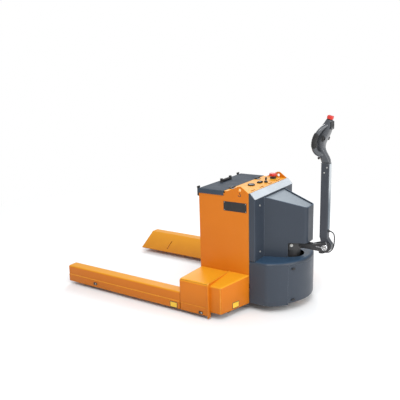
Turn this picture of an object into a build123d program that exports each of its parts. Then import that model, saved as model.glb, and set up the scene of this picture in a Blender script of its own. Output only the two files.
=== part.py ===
from build123d import *
import os
from math import asin, atan2, cos, degrees, hypot, radians, sin, sqrt, tan

# Electric pallet truck with sloped forks for rolls. Millimetres, +Z up.
# X = 0 is the front plane of the body while the pieces are made: the forks run
# towards -X and the tiller stands at +X. Left is the operator's left, -Y.

# ---- forks and shoulders ----
fork_length = 1150
fork_outer = 618          # half width over the upper part of the forks
fork_ridge = 533          # half distance from ridge to ridge
fork_low_edge = 352       # half width of the gap between the forks
fork_bottom = 30
fork_top = 164
fork_low_top = 46         # height of the low inner edge
fork_plate = 8
doubler = 4               # how far the lower outer strip stands out
doubler_top = 92
tip_plate_bottom = 58
slot_setback = 290        # from the fork's tip
slot_width = 8
slot_inner = 380
slot_outer = 464
shoulder_depth = 248
shoulder_top = 271
shoulder_wall = 6
shoulder_round = 22
flange_thick = 8
flange_lip = 5
flange_bottom = 14
fairing_outer = 600
fairing_corner = 344
fairing_bottom = 55
fairing_top = 255
fairing_rise = 20         # how much the fairing's top climbs towards the body
fairing_wall = 4
shoulder_bolt_x = 189
shoulder_bolt_z = 46

# ---- body, battery and lid ----
body_half = 322
body_length = 421
body_wall = 5
body_rim = 872
floor_top = 232
divider_x = 222
gable_foot = 228
gable_foot_top = 881
gable_peak = 932
gable_peak_front = 341
gable_peak_rear = 360
gable_end_top = 888
lifting_hole_x = 350
lifting_hole_z = 906
lifting_hole_radius = 11
console_top = 888
console_plate = 5
gauge_place = (303, -59)
gauge_radius = 27
key_place = (353, 87)
key_bore = 9
stop_place = (338, 240)
stop_bore = 14
lid_front = -6
lid_top = 890
lid_bottom = 855
lid_wall = 4
lid_gap = 1
lid_axis_x = 221
lid_axis_z = 893.5
hinge_barrel = 5
handle_x = 45
handle_half = 75
handle_height = 42
handle_rod = 6
buffer_y = 300
buffer_width = 22
buffer_roll = 7
buffer_bottom = 842
battery_gap = 4
battery_height = 600

# ---- lift ----
lift_height = 110
arm_setback = 301         # from the fork's tip to the load arm's pivot
arm_pivot_z = 60
arm_length = 165
roller_radius = 41.5
roller_width = 64
roller_y = 548
arm_plate = 6
lug_length = 45
lug_pin = 5
rod_radius = 9
rocker_x = 70
rocker_tube = 18
pivot_pin = 10
bush_wall = 3.5
tongue_thick = 20
tongue_half = 16          # it passes between the rocker's two lever plates
lever_gap = 20            # half the space between the lever plates
lever_plate = 10
tip_roller = 14
guide_x = 446
guide_y = 270
guide_radius = 12
guide_low = 400
guide_high = 640
guide_block = 30
cylinder_x = 462
cylinder_radius = 26
cylinder_rod_radius = 15
lift_seat = 640
running = 0.3

# ---- chassis and covers ----
rear_gap = 3              # between the lifting body and the fixed covers
guide_cover = 12          # from the guide rods' and their bar's rear to the cover's outside
cover_shoulder = 845
cover_crest = 888
cover_crest_x = 430
cover_wall = 4
hood_half_front = 177
hood_half_rear = 68
hood_reach = 162          # behind the steering axis
hood_round = 38
hood_rim_front = 839
hood_rim_rear = 766
tray_depth = 14
tray_margin = 9
panel_thick = 4
notch_set = 33            # behind the steering axis
notch_top = 498
notch_round = 14
skirt_bottom = 60
skirt_top = 386
skirt_depth = 205         # of the rounded part
skirt_room = 40           # from the bearing to the nose
skirt_wall = 4
skirt_round = 20
door_half = 220
door_top = 358
door_bottom = 72
door_gap = 1.5
door_barrel = 5
screw_y = 240
screw_heights = (442, 790)
latch_y = 187
latch_heights = (96, 334)
knuckle_heights = (110, 300)
knuckle_height = 24
drive_plate_bottom = 290
drive_plate = 16
beam_bottom = 118
beam_height = 50
beam_front = 285
beam_rear = 355
beam_half = 470
caster_x = 320
caster_y = 430
caster_radius = 38
caster_width = 32
caster_trail = 20

# ---- drive unit ----
yoke_gap = 14             # between the yoke's ring and the lift cylinder
wheel_radius = 115
wheel_width = 76
motor_radius = 80
motor_top = 560
bearing_wall = 24
bearing_clear = 20        # from the motor to the bearing's bore
bearing_height = 22
gear_flange = 32
leg_inner = 44
leg_outer = 104
yoke_low = 438
yoke_high = 488
yoke_wall = 18
yoke_half = 24
lug_thick = 12

# ---- tiller ----
tilt_reach = 288          # from the steering axis to the tilt pivot
tilt_z = 481
tilt_radius = 38
tiller_pin_radius = 10
tube_set = 50             # the tube's front face before the pivot
tube_depth = 59
tube_half = 26
tube_low = 545
tube_high = 1090
tube_wall = 4
strip_thick = 3
head_half = 44
neck_half = 27
neck_length = 95
tip_half = 22             # of the head's tapered end
grip_radius = 17
grip_y = 88
button_radius = 9
horn_stem = 5
throttle_set = 20         # behind the tube's front face
throttle_rise = 176       # above the tube's end
cable_radius = 4
cable_reach = 47          # behind the tube
gland_set = 24            # before the pivot

# ---- worked-out values ----
body_inner = body_half - body_wall
flange_rear = shoulder_depth + flange_thick
slot_x = slot_setback - fork_length
arm_pivot_x = arm_setback - fork_length
half_swing = degrees(asin((lift_height / 2) / arm_length))
rest_dip = degrees(asin((arm_pivot_z - roller_radius) / arm_length))
full_dip = degrees(asin((arm_pivot_z - roller_radius + lift_height) / arm_length))
arm_swing = full_dip - rest_dip
lug_lean = arm_swing / 2
lug_rise = lug_length * cos(radians(lug_lean))
lug_reach = lug_length * sin(radians(lug_lean))
push_rod_z = arm_pivot_z + lug_rise
rocker_z = push_rod_z + lug_rise
lever_length = lift_height / sin(radians(arm_swing))
tongue_bottom = rocker_z + tip_roller + 0.6
roller_x = arm_pivot_x - arm_length * cos(radians(rest_dip))
cover_front = body_length + rear_gap
cover_side_rear = guide_x + guide_radius + guide_cover
bearing_inner = motor_radius + bearing_clear
bearing_outer = bearing_inner + bearing_wall
yoke_ring = motor_radius + yoke_wall
steer_x = cylinder_x + cylinder_radius + yoke_gap + yoke_ring
notch_x = steer_x + notch_set
hood_rear = steer_x + hood_reach
skirt_nose = steer_x + bearing_outer + skirt_room
skirt_corner = skirt_nose - skirt_depth
tilt_x = steer_x + tilt_reach
tube_front = tilt_x - tube_set
tube_rear = tube_front + tube_depth
cable_loop_x = tube_rear + cable_reach
gland_x = tilt_x - gland_set
lid_swing = hypot(lid_axis_x - lid_front, lid_axis_z - lid_bottom)
buffer_front = lid_axis_x - lid_swing - 2 * buffer_roll - 1
cover_bottom = skirt_top
skirt_arc_x = (skirt_nose**2 - skirt_corner**2 - body_half**2) / (2 * (skirt_nose - skirt_corner))
skirt_arc = skirt_nose - skirt_arc_x
door_axis_angle = asin(door_half / skirt_arc)
door_axis_x = skirt_arc_x + (skirt_arc + door_barrel + 1) * cos(door_axis_angle)
door_axis_y = (skirt_arc + door_barrel + 1) * sin(door_axis_angle)
latch_angle = -asin(latch_y / skirt_arc)
rim_slope = degrees(atan2(hood_rim_front - hood_rim_rear, hood_rear - cover_side_rear))
drive_plate_top = drive_plate_bottom + drive_plate
throttle_x = tube_front + throttle_set
throttle_z = tube_high + throttle_rise
bearing_bottom = drive_plate_bottom - bearing_height
caster_swivel_top = beam_bottom - 16
origin_x = (cable_loop_x + cable_radius - fork_length) / 2


# ---- shape helpers ----
def block(x0, x1, y0, y1, z0, z1):
    return Pos((x0 + x1) / 2, (y0 + y1) / 2, (z0 + z1) / 2) * Box(x1 - x0, y1 - y0, z1 - z0)


def rod_x(x0, x1, y, z, radius):
    return Pos((x0 + x1) / 2, y, z) * Rot(0, 90, 0) * Cylinder(radius, x1 - x0)


def rod_y(x, y0, y1, z, radius):
    return Pos(x, (y0 + y1) / 2, z) * Rot(90, 0, 0) * Cylinder(radius, y1 - y0)


def rod_z(x, y, z0, z1, radius):
    return Pos(x, y, (z0 + z1) / 2) * Cylinder(radius, z1 - z0)


def side_plate(points, y0, y1):
    outline = Polyline(*[(x, y0, z) for x, z in points], close=True)
    return extrude(make_face(outline), amount=y1 - y0, dir=(0, 1, 0))


def level_plate(points, z0, z1):
    outline = Polyline(*[(x, y, z0) for x, y in points], close=True)
    return extrude(make_face(outline), amount=z1 - z0, dir=(0, 0, 1))


def cross_plate(points, x0, x1):
    outline = Polyline(*[(x0, y, z) for y, z in points], close=True)
    return extrude(make_face(outline), amount=x1 - x0, dir=(1, 0, 0))


def along(shape, axis, *places):
    """The straight edges of a shape along an axis that pass nearest the given places."""
    edges = shape.edges().filter_by(axis)
    return [min(edges, key=lambda edge: (edge.center() - Vector(*place)).length) for place in places]


def both_sides(name, shape):
    """Names the +Y piece and its mirror image."""
    return {name + "_right": shape, name + "_left": mirror(shape, about=Plane.XZ)}


def on_both_sides(shape):
    return shape + mirror(shape, about=Plane.XZ)


# ---- forks ----
def slope_underside(y):
    lean = atan2(fork_top - fork_low_top, fork_ridge - fork_low_edge)
    return fork_low_top + (y - fork_low_edge) * tan(lean) - fork_plate / cos(lean)


def fork():
    lean = atan2(fork_top - fork_low_top, fork_ridge - fork_low_edge)
    inner_wall = fork_outer - fork_plate
    under_top = fork_top - fork_plate
    under_low = (fork_low_edge + fork_plate * sin(lean), fork_low_top - fork_plate * cos(lean))
    under_ridge_y = under_low[0] + (under_top - under_low[1]) / tan(lean)
    section = [
        (inner_wall, fork_bottom),
        (fork_outer + doubler, fork_bottom),
        (fork_outer + doubler, doubler_top - doubler),
        (fork_outer, doubler_top),
        (fork_outer, fork_top),
        (fork_ridge, fork_top),
        (fork_low_edge, fork_low_top),
        under_low,
        (under_ridge_y, under_top),
        (inner_wall, under_top),
    ]
    beam = cross_plate(section, -fork_length, 0)
    middle = -fork_length / 2
    beam = fillet(along(beam, Axis.X, (middle, fork_outer, fork_top)), 12)
    beam = fillet(along(beam, Axis.X, (middle, fork_ridge, fork_top)), 10)
    tip_y = under_low[0] + (tip_plate_bottom - under_low[1]) / tan(lean)
    tip = [(inner_wall, tip_plate_bottom), (inner_wall, under_top), (under_ridge_y, under_top),
           (tip_y, tip_plate_bottom)]
    beam += cross_plate(tip, -fork_length, -fork_length + fork_plate)
    bracket_y = roller_y - roller_width / 2 - arm_plate - 18
    bracket_top = slope_underside(bracket_y + fork_plate / 2) + fork_plate / 2
    beam += block(arm_pivot_x - 26, arm_pivot_x + 26, bracket_y, bracket_y + fork_plate,
                  arm_pivot_z - 18, bracket_top)
    beam -= rod_y(arm_pivot_x, bracket_y - 1, fork_outer + doubler + 1, arm_pivot_z, pivot_pin)
    middle_y = (slot_inner + slot_outer) / 2
    slot_z = fork_low_top + (middle_y - fork_low_edge) * tan(lean)
    cutter = Box(slot_width, (slot_outer - slot_inner) / cos(lean), 6 * fork_plate)
    return beam - Pos(slot_x, middle_y, slot_z) * Rot(degrees(lean), 0, 0) * cutter


def shoulder():
    outer = block(0, shoulder_depth, body_half, fork_outer, fork_bottom, shoulder_top)
    outer = fillet(along(outer, Axis.X, (shoulder_depth / 2, fork_outer, shoulder_top)), shoulder_round)
    outer = fillet(along(outer, Axis.Z, (0, fork_outer, (fork_bottom + shoulder_top) / 2)), shoulder_round / 2)
    outer += block(shoulder_round / 2, shoulder_depth, fork_outer, fork_outer + doubler,
                   fork_bottom, doubler_top - doubler)
    wall = shoulder_wall
    box = outer - block(wall, shoulder_depth + 1, body_half - 1, fork_outer - wall,
                        fork_bottom - 1, shoulder_top - wall)
    box -= rod_x(-1, wall + 1, roller_y, push_rod_z, rod_radius + 16)
    lip = fork_outer + doubler + flange_lip
    flange = block(shoulder_depth, flange_rear, body_half, lip, flange_bottom, shoulder_top + flange_lip)
    flange = fillet(along(flange, Axis.X, (shoulder_depth, lip, shoulder_top + flange_lip)), shoulder_round)
    flange -= block(shoulder_depth - 1, flange_rear + 1, body_half + 22, fork_outer - 24,
                    flange_bottom - 1, shoulder_top - 24)
    box += flange
    return box - rod_y(shoulder_bolt_x, fork_outer - 20, fork_outer + 20, shoulder_bolt_z, 6)


def fairing_block(inset, bottom):
    """The fairing's outline, moved inwards, under a top that climbs towards the body."""
    slant = atan2(fairing_outer - body_half, body_length - fairing_corner)
    outer = fairing_outer - inset
    corner_x = fairing_corner - inset / sin(slant) + inset / tan(slant)
    rear_x = body_length - inset / sin(slant)
    plan = [(flange_rear, body_half), (flange_rear, outer), (corner_x, outer), (rear_x, body_half)]
    solid = level_plate(plan, bottom, fairing_top + 2 * fairing_rise)
    top = fairing_top - inset
    above = [(body_half - 9, top + fairing_rise), (body_half, top + fairing_rise), (outer, top),
             (outer + 50, top), (outer + 50, top + 90), (body_half - 9, top + 90)]
    return solid - cross_plate(above, flange_rear - 1, body_length + 9), corner_x, outer


def side_fairing():
    outer, corner_x, corner_y = fairing_block(0, fairing_bottom)
    middle = (fairing_bottom + fairing_top) / 2
    outer = fillet(along(outer, Axis.Z, (corner_x, corner_y, middle)), 20)
    rims = outer.faces().sort_by(Axis.Z)[-1].edges()
    rims = [edge for edge in rims if edge.center().Y > body_half + 5 and edge.center().X > flange_rear + 5]
    outer = fillet(rims, 12)
    inner = fairing_block(fairing_wall, fairing_bottom - 1)[0]
    return outer - inner


# ---- body ----
def body_side():
    outline = [(0, fork_bottom), (beam_front - 25, fork_bottom), (beam_front - 25, floor_top - 24),
               (body_length, floor_top - 24), (body_length, gable_end_top),
               (gable_peak_rear, gable_peak), (gable_peak_front, gable_peak), (gable_foot, gable_foot_top),
               (gable_foot, body_rim), (0, body_rim)]
    side = side_plate(outline, body_inner, body_half)
    side -= rod_y(lifting_hole_x, body_inner - 1, body_half + 1, lifting_hole_z, lifting_hole_radius)
    return side - rod_y(rocker_x, body_inner - 1, body_half + 1, rocker_z, rocker_tube + bush_wall)


def guide_blocks():
    blocks = []
    for z in (guide_low, guide_high):
        block_z = block(body_length, cover_side_rear - cover_wall, guide_y - 25, guide_y + 25, z, z + guide_block)
        bore = rod_z(guide_x, guide_y, z - 1, z + guide_block + 1, guide_radius + bush_wall)
        blocks += [block_z - bore]
    return blocks[0] + blocks[1]


def lift_seat_bracket():
    seat = block(body_length, cylinder_x + cylinder_radius, -40, 40, lift_seat, lift_seat + 16)
    web = [(body_length, lift_seat + 16), (cylinder_x, lift_seat + 16), (body_length, lift_seat + 56)]
    return seat + side_plate(web, -8, 8)


def battery_compartment():
    shell = on_both_sides(body_side())
    shell += block(0, body_wall, -body_inner, body_inner, fork_bottom, body_rim)
    rear_top = console_top - console_plate
    shell += block(body_length - body_wall, body_length, -body_inner, body_inner, floor_top - 24, rear_top)
    shell += block(body_wall, body_length - body_wall, -body_inner, body_inner, floor_top - 6, floor_top)
    shell += block(divider_x, divider_x + 4, -body_inner, body_inner, floor_top, rear_top)
    shell += on_both_sides(guide_blocks())
    return shell + lift_seat_bracket()


def console_panel():
    plate = block(lid_axis_x - 4.5, body_length, -body_inner, body_inner, console_top - console_plate, console_top)
    plate -= rod_z(gauge_place[0], gauge_place[1], 0, 999, gauge_radius - 3)
    plate -= rod_z(key_place[0], key_place[1], 0, 999, key_bore)
    plate -= rod_z(stop_place[0], stop_place[1], 0, 999, stop_bore)
    for row in range(4):
        y = -210 + 140 * row
        plate -= block(body_length - 30, body_length - 18, y - 32, y + 32, 0, 999)
    return plate


def console_fittings():
    gauge = rod_z(gauge_place[0], gauge_place[1], console_top, console_top + 6, gauge_radius)
    gauge += rod_z(gauge_place[0], gauge_place[1], console_top - 40, console_top, gauge_radius - 4)
    lock = rod_z(key_place[0], key_place[1], console_top, console_top + 12, key_bore + 5)
    lock += rod_z(key_place[0], key_place[1], console_top - 30, console_top, key_bore - 1)
    lock -= block(key_place[0] - 1.4, key_place[0] + 1.4, key_place[1] - 4.4, key_place[1] + 4.4,
                  console_top - 8, console_top + 13)
    lock -= rod_z(key_place[0], key_place[1], console_top - 8, console_top + 13, 4.8)
    collar = rod_z(stop_place[0], stop_place[1], console_top, console_top + 16, stop_bore + 10)
    collar += rod_z(stop_place[0], stop_place[1], console_top - 45, console_top, stop_bore - 1)
    collar -= rod_z(stop_place[0], stop_place[1], console_top - 12, console_top + 17, 8 + running)
    meter_x = gauge_place[0] + 16
    meter = block(meter_x - 14, meter_x + 14, 28, 74, console_top, console_top + 9)
    return [gauge, lock, collar, meter]


def key():
    shaft = rod_z(key_place[0], key_place[1], console_top - 6, console_top + 16, 4.4)
    bow = block(key_place[0] - 3, key_place[0] + 3, key_place[1] - 11, key_place[1] + 11,
                console_top + 13, console_top + 42)
    return shaft + fillet(bow.edges().filter_by(Axis.X), 5)


def stop_button():
    stem = rod_z(stop_place[0], stop_place[1], console_top - 4, console_top + 26, 8)
    cap = rod_z(stop_place[0], stop_place[1], console_top + 26, console_top + 46, 31)
    return stem + fillet(cap.edges().sort_by(Axis.Z)[-1], 7)


def battery():
    front = body_wall + battery_gap
    rear = divider_x - battery_gap
    half = body_inner - battery_gap
    case = block(front, rear, -half, half, floor_top, floor_top + battery_height)
    cells = []
    for row in range(12):
        y = -half + (row + 0.5) * 2 * half / 12
        cells += [rod_z((front + rear) / 2, y, floor_top + battery_height, floor_top + battery_height + 12, 13)]
    for cap in cells:
        case += cap
    return case


def hydraulic_unit():
    tank = block(250, 400, -290, -70, floor_top, floor_top + 150)
    tank = fillet(tank.edges().filter_by(Axis.Z), 14)
    manifold = block(285, 365, -220, -140, floor_top + 150, floor_top + 200)
    motor = rod_z(325, -180, floor_top + 200, floor_top + 370, 52)
    return tank + manifold + motor


def motor_controller():
    base = block(body_length - body_wall - 20, body_length - body_wall, 60, 290, 420, 600)
    for fin in range(9):
        y = 70 + fin * 25
        base += block(body_length - body_wall - 60, body_length - body_wall - 20, y, y + 8, 430, 590)
    return base


def frame_pins():
    bracket_y = roller_y - roller_width / 2 - arm_plate - 18
    skin = fork_outer + doubler
    pin = rod_y(arm_pivot_x, bracket_y, skin, arm_pivot_z, pivot_pin)
    keeper = block(arm_pivot_x - 17, arm_pivot_x + 17, skin, skin + 4, arm_pivot_z - 10, arm_pivot_z + 10)
    bolt = rod_y(shoulder_bolt_x, fork_outer - 18, skin, shoulder_bolt_z, 6)
    washer = block(shoulder_bolt_x - 16, shoulder_bolt_x + 16, skin, skin + 4,
                   shoulder_bolt_z - 9, shoulder_bolt_z + 9)
    right = [pin + keeper, bolt + washer]
    return right + [mirror(piece, about=Plane.XZ) for piece in right]


def frame_bushes():
    rings = [rod_y(rocker_x, body_inner - 6, body_half + 6, rocker_z, rocker_tube + bush_wall)
             - rod_y(rocker_x, body_inner - 9, body_half + 9, rocker_z, rocker_tube + running)]
    for z in (guide_low, guide_high):
        sleeve = rod_z(guide_x, guide_y, z, z + guide_block, guide_radius + bush_wall)
        rings += [sleeve - rod_z(guide_x, guide_y, z - 1, z + guide_block + 1, guide_radius + running)]
    return rings + [mirror(ring, about=Plane.XZ) for ring in rings]


# ---- lid ----
def lid_panel():
    half = body_half + lid_gap + lid_wall
    rear = lid_axis_x - 6.5
    panel = block(lid_front, rear, -half, half, lid_bottom, lid_top)
    top_rims = [(rear / 2, half, lid_top), (rear / 2, -half, lid_top)]
    panel = fillet(along(panel, Axis.X, *top_rims) + along(panel, Axis.Y, (lid_front, 0, lid_top)), 8)
    panel -= block(lid_front + lid_wall, rear + 1, -half + lid_wall, half - lid_wall,
                   lid_bottom - 1, lid_top - lid_wall)
    for y in (-200, 200):
        panel += rod_y(lid_axis_x, y, y + 40, lid_axis_z, hinge_barrel)
        panel += block(rear - 30, lid_axis_x - 2, y, y + 40, lid_top - 0.5, lid_top + 2.5)
        panel -= rod_y(lid_axis_x, y - 1, y + 41, lid_axis_z, 2.5 + 0.1)
    return panel


def lid_hardware():
    pieces = []
    for y in (-200, 200):
        barrel = rod_y(lid_axis_x, y - 41, y - 1, lid_axis_z, hinge_barrel)
        leaf = block(lid_axis_x, lid_axis_x + 32, y - 41, y - 1, console_top, console_top + 2.5)
        pin = rod_y(lid_axis_x, y - 41, y + 41, lid_axis_z, 2.5)
        pieces += [barrel + leaf + pin]
    return pieces


def corner_buffers():
    pieces = []
    roll_x = buffer_front + buffer_roll
    for y in (-buffer_y, buffer_y):
        low = y - buffer_width / 2
        high = y + buffer_width / 2
        strap = block(buffer_front + 2, buffer_front + 12, low, high, buffer_bottom, lid_top + buffer_roll)
        foot = block(buffer_front + 6, 0, low - 6, high + 6, buffer_bottom - 14, buffer_bottom + 12)
        roll = rod_y(roll_x, low - 2, high + 2, lid_top + 4, buffer_roll)
        pieces += [fillet(foot.edges().filter_by(Axis.Y).sort_by(Axis.X)[:2], 4) + strap + roll]
    return pieces


def lid_handle():
    top = lid_top + handle_height
    path = FilletPolyline((handle_x, -handle_half, lid_top), (handle_x, -handle_half, top),
                          (handle_x, handle_half, top), (handle_x, handle_half, lid_top), radius=18)
    rod = sweep(Plane(path @ 0, z_dir=path % 0) * Circle(handle_rod), path=path)
    for y in (-handle_half, handle_half):
        rod += rod_z(handle_x, y, lid_top, lid_top + 5, 13)
    return rod


# ---- lift linkage ----
def load_arm():
    inner = roller_y - roller_width / 2 - 2 - arm_plate
    outer = roller_y + roller_width / 2 + 2 + arm_plate
    axle_z = roller_radius
    lean = radians(rest_dip)
    side = (-sin(lean), cos(lean))
    ends = [(arm_pivot_x + 18 * side[0], arm_pivot_z + 18 * side[1]),
            (arm_pivot_x - 18 * side[0], arm_pivot_z - 18 * side[1]),
            (roller_x - 14 * side[0], axle_z - 14 * side[1]),
            (roller_x + 14 * side[0], axle_z + 14 * side[1])]
    arm = rod_y(arm_pivot_x, inner, outer, arm_pivot_z, 20)
    for y in (inner, outer - arm_plate):
        arm += side_plate(ends, y, y + arm_plate)
        arm += rod_y(arm_pivot_x, y, y + arm_plate, arm_pivot_z, 20)
        arm += rod_y(roller_x, y, y + arm_plate, axle_z, 15)
    arm += rod_y(roller_x, inner - 2, outer + 2, axle_z, 8)
    pin_x = arm_pivot_x + lug_reach
    lug = side_plate([(arm_pivot_x - 12, arm_pivot_z), (arm_pivot_x + 12, arm_pivot_z),
                      (pin_x + 9, push_rod_z), (pin_x - 9, push_rod_z)], roller_y + 3, roller_y + 13)
    lug += rod_y(pin_x, roller_y + 3, roller_y + 13, push_rod_z, 10)
    arm += lug + rod_y(pin_x, roller_y - 13, roller_y + 3, push_rod_z, lug_pin)
    return arm - rod_y(arm_pivot_x, inner - 1, outer + 1, arm_pivot_z, pivot_pin + running)


def load_roller():
    wheel = rod_y(roller_x, roller_y - roller_width / 2, roller_y + roller_width / 2, roller_radius, roller_radius)
    wheel = fillet(wheel.edges().filter_by(GeomType.CIRCLE), 4)
    bore = rod_y(roller_x, roller_y - 99, roller_y + 99, roller_radius, 8 + running)
    return wheel - bore


def rod_eye(x):
    eye = block(x - 16, x + 16, roller_y - 11, roller_y + 1, push_rod_z - 20, push_rod_z + 20)
    eye = fillet(eye.edges().filter_by(Axis.Y), 9)
    slack = lug_length - lug_rise + 1
    half = lug_pin + 0.6
    slot = block(x - half, x + half, roller_y - 12, roller_y + 2, push_rod_z - slack - half, push_rod_z + slack + half)
    return eye - slot


def push_rod():
    front = arm_pivot_x + lug_reach
    rear = rocker_x + lug_reach
    bar = rod_x(front + 15, rear - 15, roller_y - 5, push_rod_z, rod_radius)
    return bar + rod_eye(front) + rod_eye(rear)


def rocker_lug():
    pin_x = rocker_x + lug_reach
    lug = side_plate([(rocker_x - 12, rocker_z), (rocker_x + 12, rocker_z), (pin_x + 9, push_rod_z),
                      (pin_x - 9, push_rod_z)], roller_y + 3, roller_y + 13)
    lug += rod_y(pin_x, roller_y + 3, roller_y + 13, push_rod_z, 10)
    return lug + rod_y(pin_x, roller_y - 13, roller_y + 3, push_rod_z, lug_pin)


def rocker_shaft():
    shaft = rod_y(rocker_x, -roller_y - 13, roller_y + 13, rocker_z, rocker_tube)
    shaft += on_both_sides(rocker_lug())
    tip_x = rocker_x + lever_length
    for y in (-lever_gap - lever_plate, lever_gap):
        shaft += side_plate([(rocker_x, rocker_z - 17), (rocker_x, rocker_z + 17),
                             (tip_x, rocker_z + 12), (tip_x, rocker_z - 12)], y, y + lever_plate)
        shaft += rod_y(tip_x, y, y + lever_plate, rocker_z, 12)
    return shaft + rod_y(tip_x, -lever_gap, lever_gap, rocker_z, tip_roller)


# ---- chassis ----
def slewing_hole(z0, z1):
    return rod_z(steer_x, 0, z0, z1, bearing_inner + 3)


def caster_plate():
    plate = block(caster_x - 34, caster_x + 34, caster_y - 34, caster_y + 34, beam_bottom - 8, beam_bottom)
    return plate + rod_z(caster_x, caster_y, caster_swivel_top, beam_bottom - 8, 24)


def drive_chassis():
    beam = block(beam_front, beam_rear, -beam_half, beam_half, beam_bottom, beam_bottom + beam_height)
    plate_front = cover_front + 1
    rail = block(beam_rear, plate_front + 6, 150, 210, beam_bottom, beam_bottom + beam_height)
    frame = beam + on_both_sides(rail)
    tongue_front = rocker_x + lever_length - 65
    frame += block(tongue_front, beam_front + 20, -tongue_half, tongue_half, tongue_bottom, tongue_bottom + tongue_thick)
    top = lift_seat + lift_height + 70
    back = block(plate_front, plate_front + 6, -guide_y + 35, guide_y - 35, beam_bottom, top)
    back -= block(plate_front - 1, plate_front + 7, -48, 48, lift_seat - 20, top - 12)
    frame += back
    frame += block(plate_front, cover_side_rear - cover_wall, -guide_y - 30, guide_y + 30, top - 12, top)
    deck = Pos(skirt_arc_x, 0, (drive_plate_bottom + drive_plate_top) / 2) * Cylinder(skirt_arc - 18, drive_plate)
    deck = deck & block(plate_front, skirt_nose, -body_half + 20, body_half - 20, 0, 999)
    frame += deck
    gusset = [(plate_front + 6, beam_bottom), (plate_front + 6, drive_plate_bottom), (560, drive_plate_bottom)]
    frame += on_both_sides(side_plate(gusset, 170, 178))
    frame += on_both_sides(caster_plate())
    frame -= slewing_hole(drive_plate_bottom - 1, drive_plate_top + 1)
    for y in (-guide_y, guide_y):
        frame -= rod_z(guide_x, y, drive_plate_bottom, top, guide_radius)
    return frame


def guide_rods():
    top = lift_seat + lift_height + 70
    return [rod_z(guide_x, y, drive_plate_bottom, top, guide_radius) for y in (-guide_y, guide_y)]


def lift_cylinder():
    barrel_top = lift_seat - 90
    barrel = rod_z(cylinder_x, 0, drive_plate_top, barrel_top, cylinder_radius)
    barrel += rod_z(cylinder_x, 0, drive_plate_top, drive_plate_top + 14, cylinder_radius + 4)
    barrel += rod_z(cylinder_x, 0, barrel_top, barrel_top + 12, cylinder_radius - 4)
    return barrel - rod_z(cylinder_x, 0, drive_plate_top + 60, barrel_top + 13, cylinder_rod_radius + running)


def cylinder_rod():
    return rod_z(cylinder_x, 0, drive_plate_top + 62, lift_seat, cylinder_rod_radius)


def steering_bearing():
    ring = rod_z(steer_x, 0, bearing_bottom, drive_plate_bottom, bearing_outer)
    return ring - rod_z(steer_x, 0, bearing_bottom - 1, drive_plate_bottom + 1, bearing_inner + running)


# ---- covers ----
def rim_height(x):
    return hood_rim_front - (x - cover_side_rear) * tan(radians(rim_slope))


def hood_block(inset, drop, bottom, front):
    """The tapered hood, moved inwards and down, cut by the plane of its rim."""
    taper = (hood_half_front - hood_half_rear) / (hood_rear - cover_side_rear)
    rear = hood_rear - inset
    side_inset = inset * hypot(1, taper)
    front_half = hood_half_front + (cover_side_rear - front) * taper - side_inset
    rear_half = hood_half_front - (rear - cover_side_rear) * taper - side_inset
    plan = [(front, -front_half), (rear, -rear_half), (rear, rear_half), (front, front_half)]
    solid = level_plate(plan, bottom, cover_crest + 60)
    middle = (bottom + cover_crest) / 2
    corners = along(solid, Axis.Z, (rear, rear_half, middle), (rear, -rear_half, middle))
    solid = fillet(corners, hood_round - inset)
    above = [(front - 1, rim_height(front - 1) - drop), (rear + 1, rim_height(rear + 1) - drop),
             (rear + 1, cover_crest + 99), (front - 1, cover_crest + 99)]
    return solid - side_plate(above, -body_half, body_half)


def wing_block(inset):
    """The full-width part of the rear cover, from the body to the flange face."""
    front = cover_front - (1 if inset else 0)
    slant = atan2(cover_crest - cover_shoulder, cover_side_rear - cover_crest_x)
    shift = inset * tan(slant / 2)
    profile = [(front, cover_bottom - (1 if inset else 0)),
               (cover_side_rear - inset, cover_bottom - (1 if inset else 0)),
               (cover_side_rear - inset, cover_shoulder - shift),
               (cover_crest_x - shift, cover_crest - inset),
               (front, cover_crest - inset)]
    return side_plate(profile, -body_half + inset, body_half - inset)


def rear_cover():
    wing = wing_block(0)
    middle = (cover_bottom + cover_shoulder) / 2
    wing = fillet(along(wing, Axis.Z, (cover_side_rear, body_half, middle),
                        (cover_side_rear, -body_half, middle)), 8)
    cover = wing + hood_block(0, 0, cover_bottom, cover_side_rear - 1)
    cover -= hood_block(tray_margin, -tray_depth, hood_rim_rear - 99, cover_side_rear) & top_layer(tray_depth, 99)
    cover -= wing_block(cover_wall)
    cover -= hood_block(cover_wall, tray_depth + cover_wall, cover_bottom - 9, cover_side_rear - cover_wall - 1)
    notch = block(notch_x, hood_rear + 99, -body_half, body_half, cover_bottom - 99, notch_top)
    cover -= fillet(along(notch, Axis.Y, (notch_x, 0, notch_top)), notch_round)
    for y in (-screw_y, screw_y):
        for z in screw_heights:
            cover -= rod_x(cover_side_rear - 9, cover_side_rear + 9, y, z, 4)
    return cover


def top_layer(low, high):
    """The space between two planes that lie under the hood's rim plane by low and above it by high."""
    front = cover_side_rear
    rear = hood_rear + 9
    profile = [(front, rim_height(front) - low), (rear, rim_height(rear) - low),
               (rear, rim_height(rear) + high), (front, rim_height(front) + high)]
    return side_plate(profile, -body_half, body_half)


def cover_top_panel():
    slant = atan2(cover_crest - cover_shoulder, cover_side_rear - cover_crest_x)
    lift_x = panel_thick * sin(slant)
    lift_z = panel_thick * cos(slant)
    band = [(cover_crest_x, cover_crest), (cover_side_rear, cover_shoulder),
            (cover_side_rear + lift_x, cover_shoulder + lift_z),
            (cover_crest_x + lift_x, cover_crest + lift_z)]
    strip = side_plate(band, -body_half + 6, body_half - 6)
    tray = hood_block(tray_margin + 1, tray_depth - panel_thick, hood_rim_rear - 99, cover_side_rear) \
        & top_layer(tray_depth, 99)
    return [strip, tray]


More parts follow.
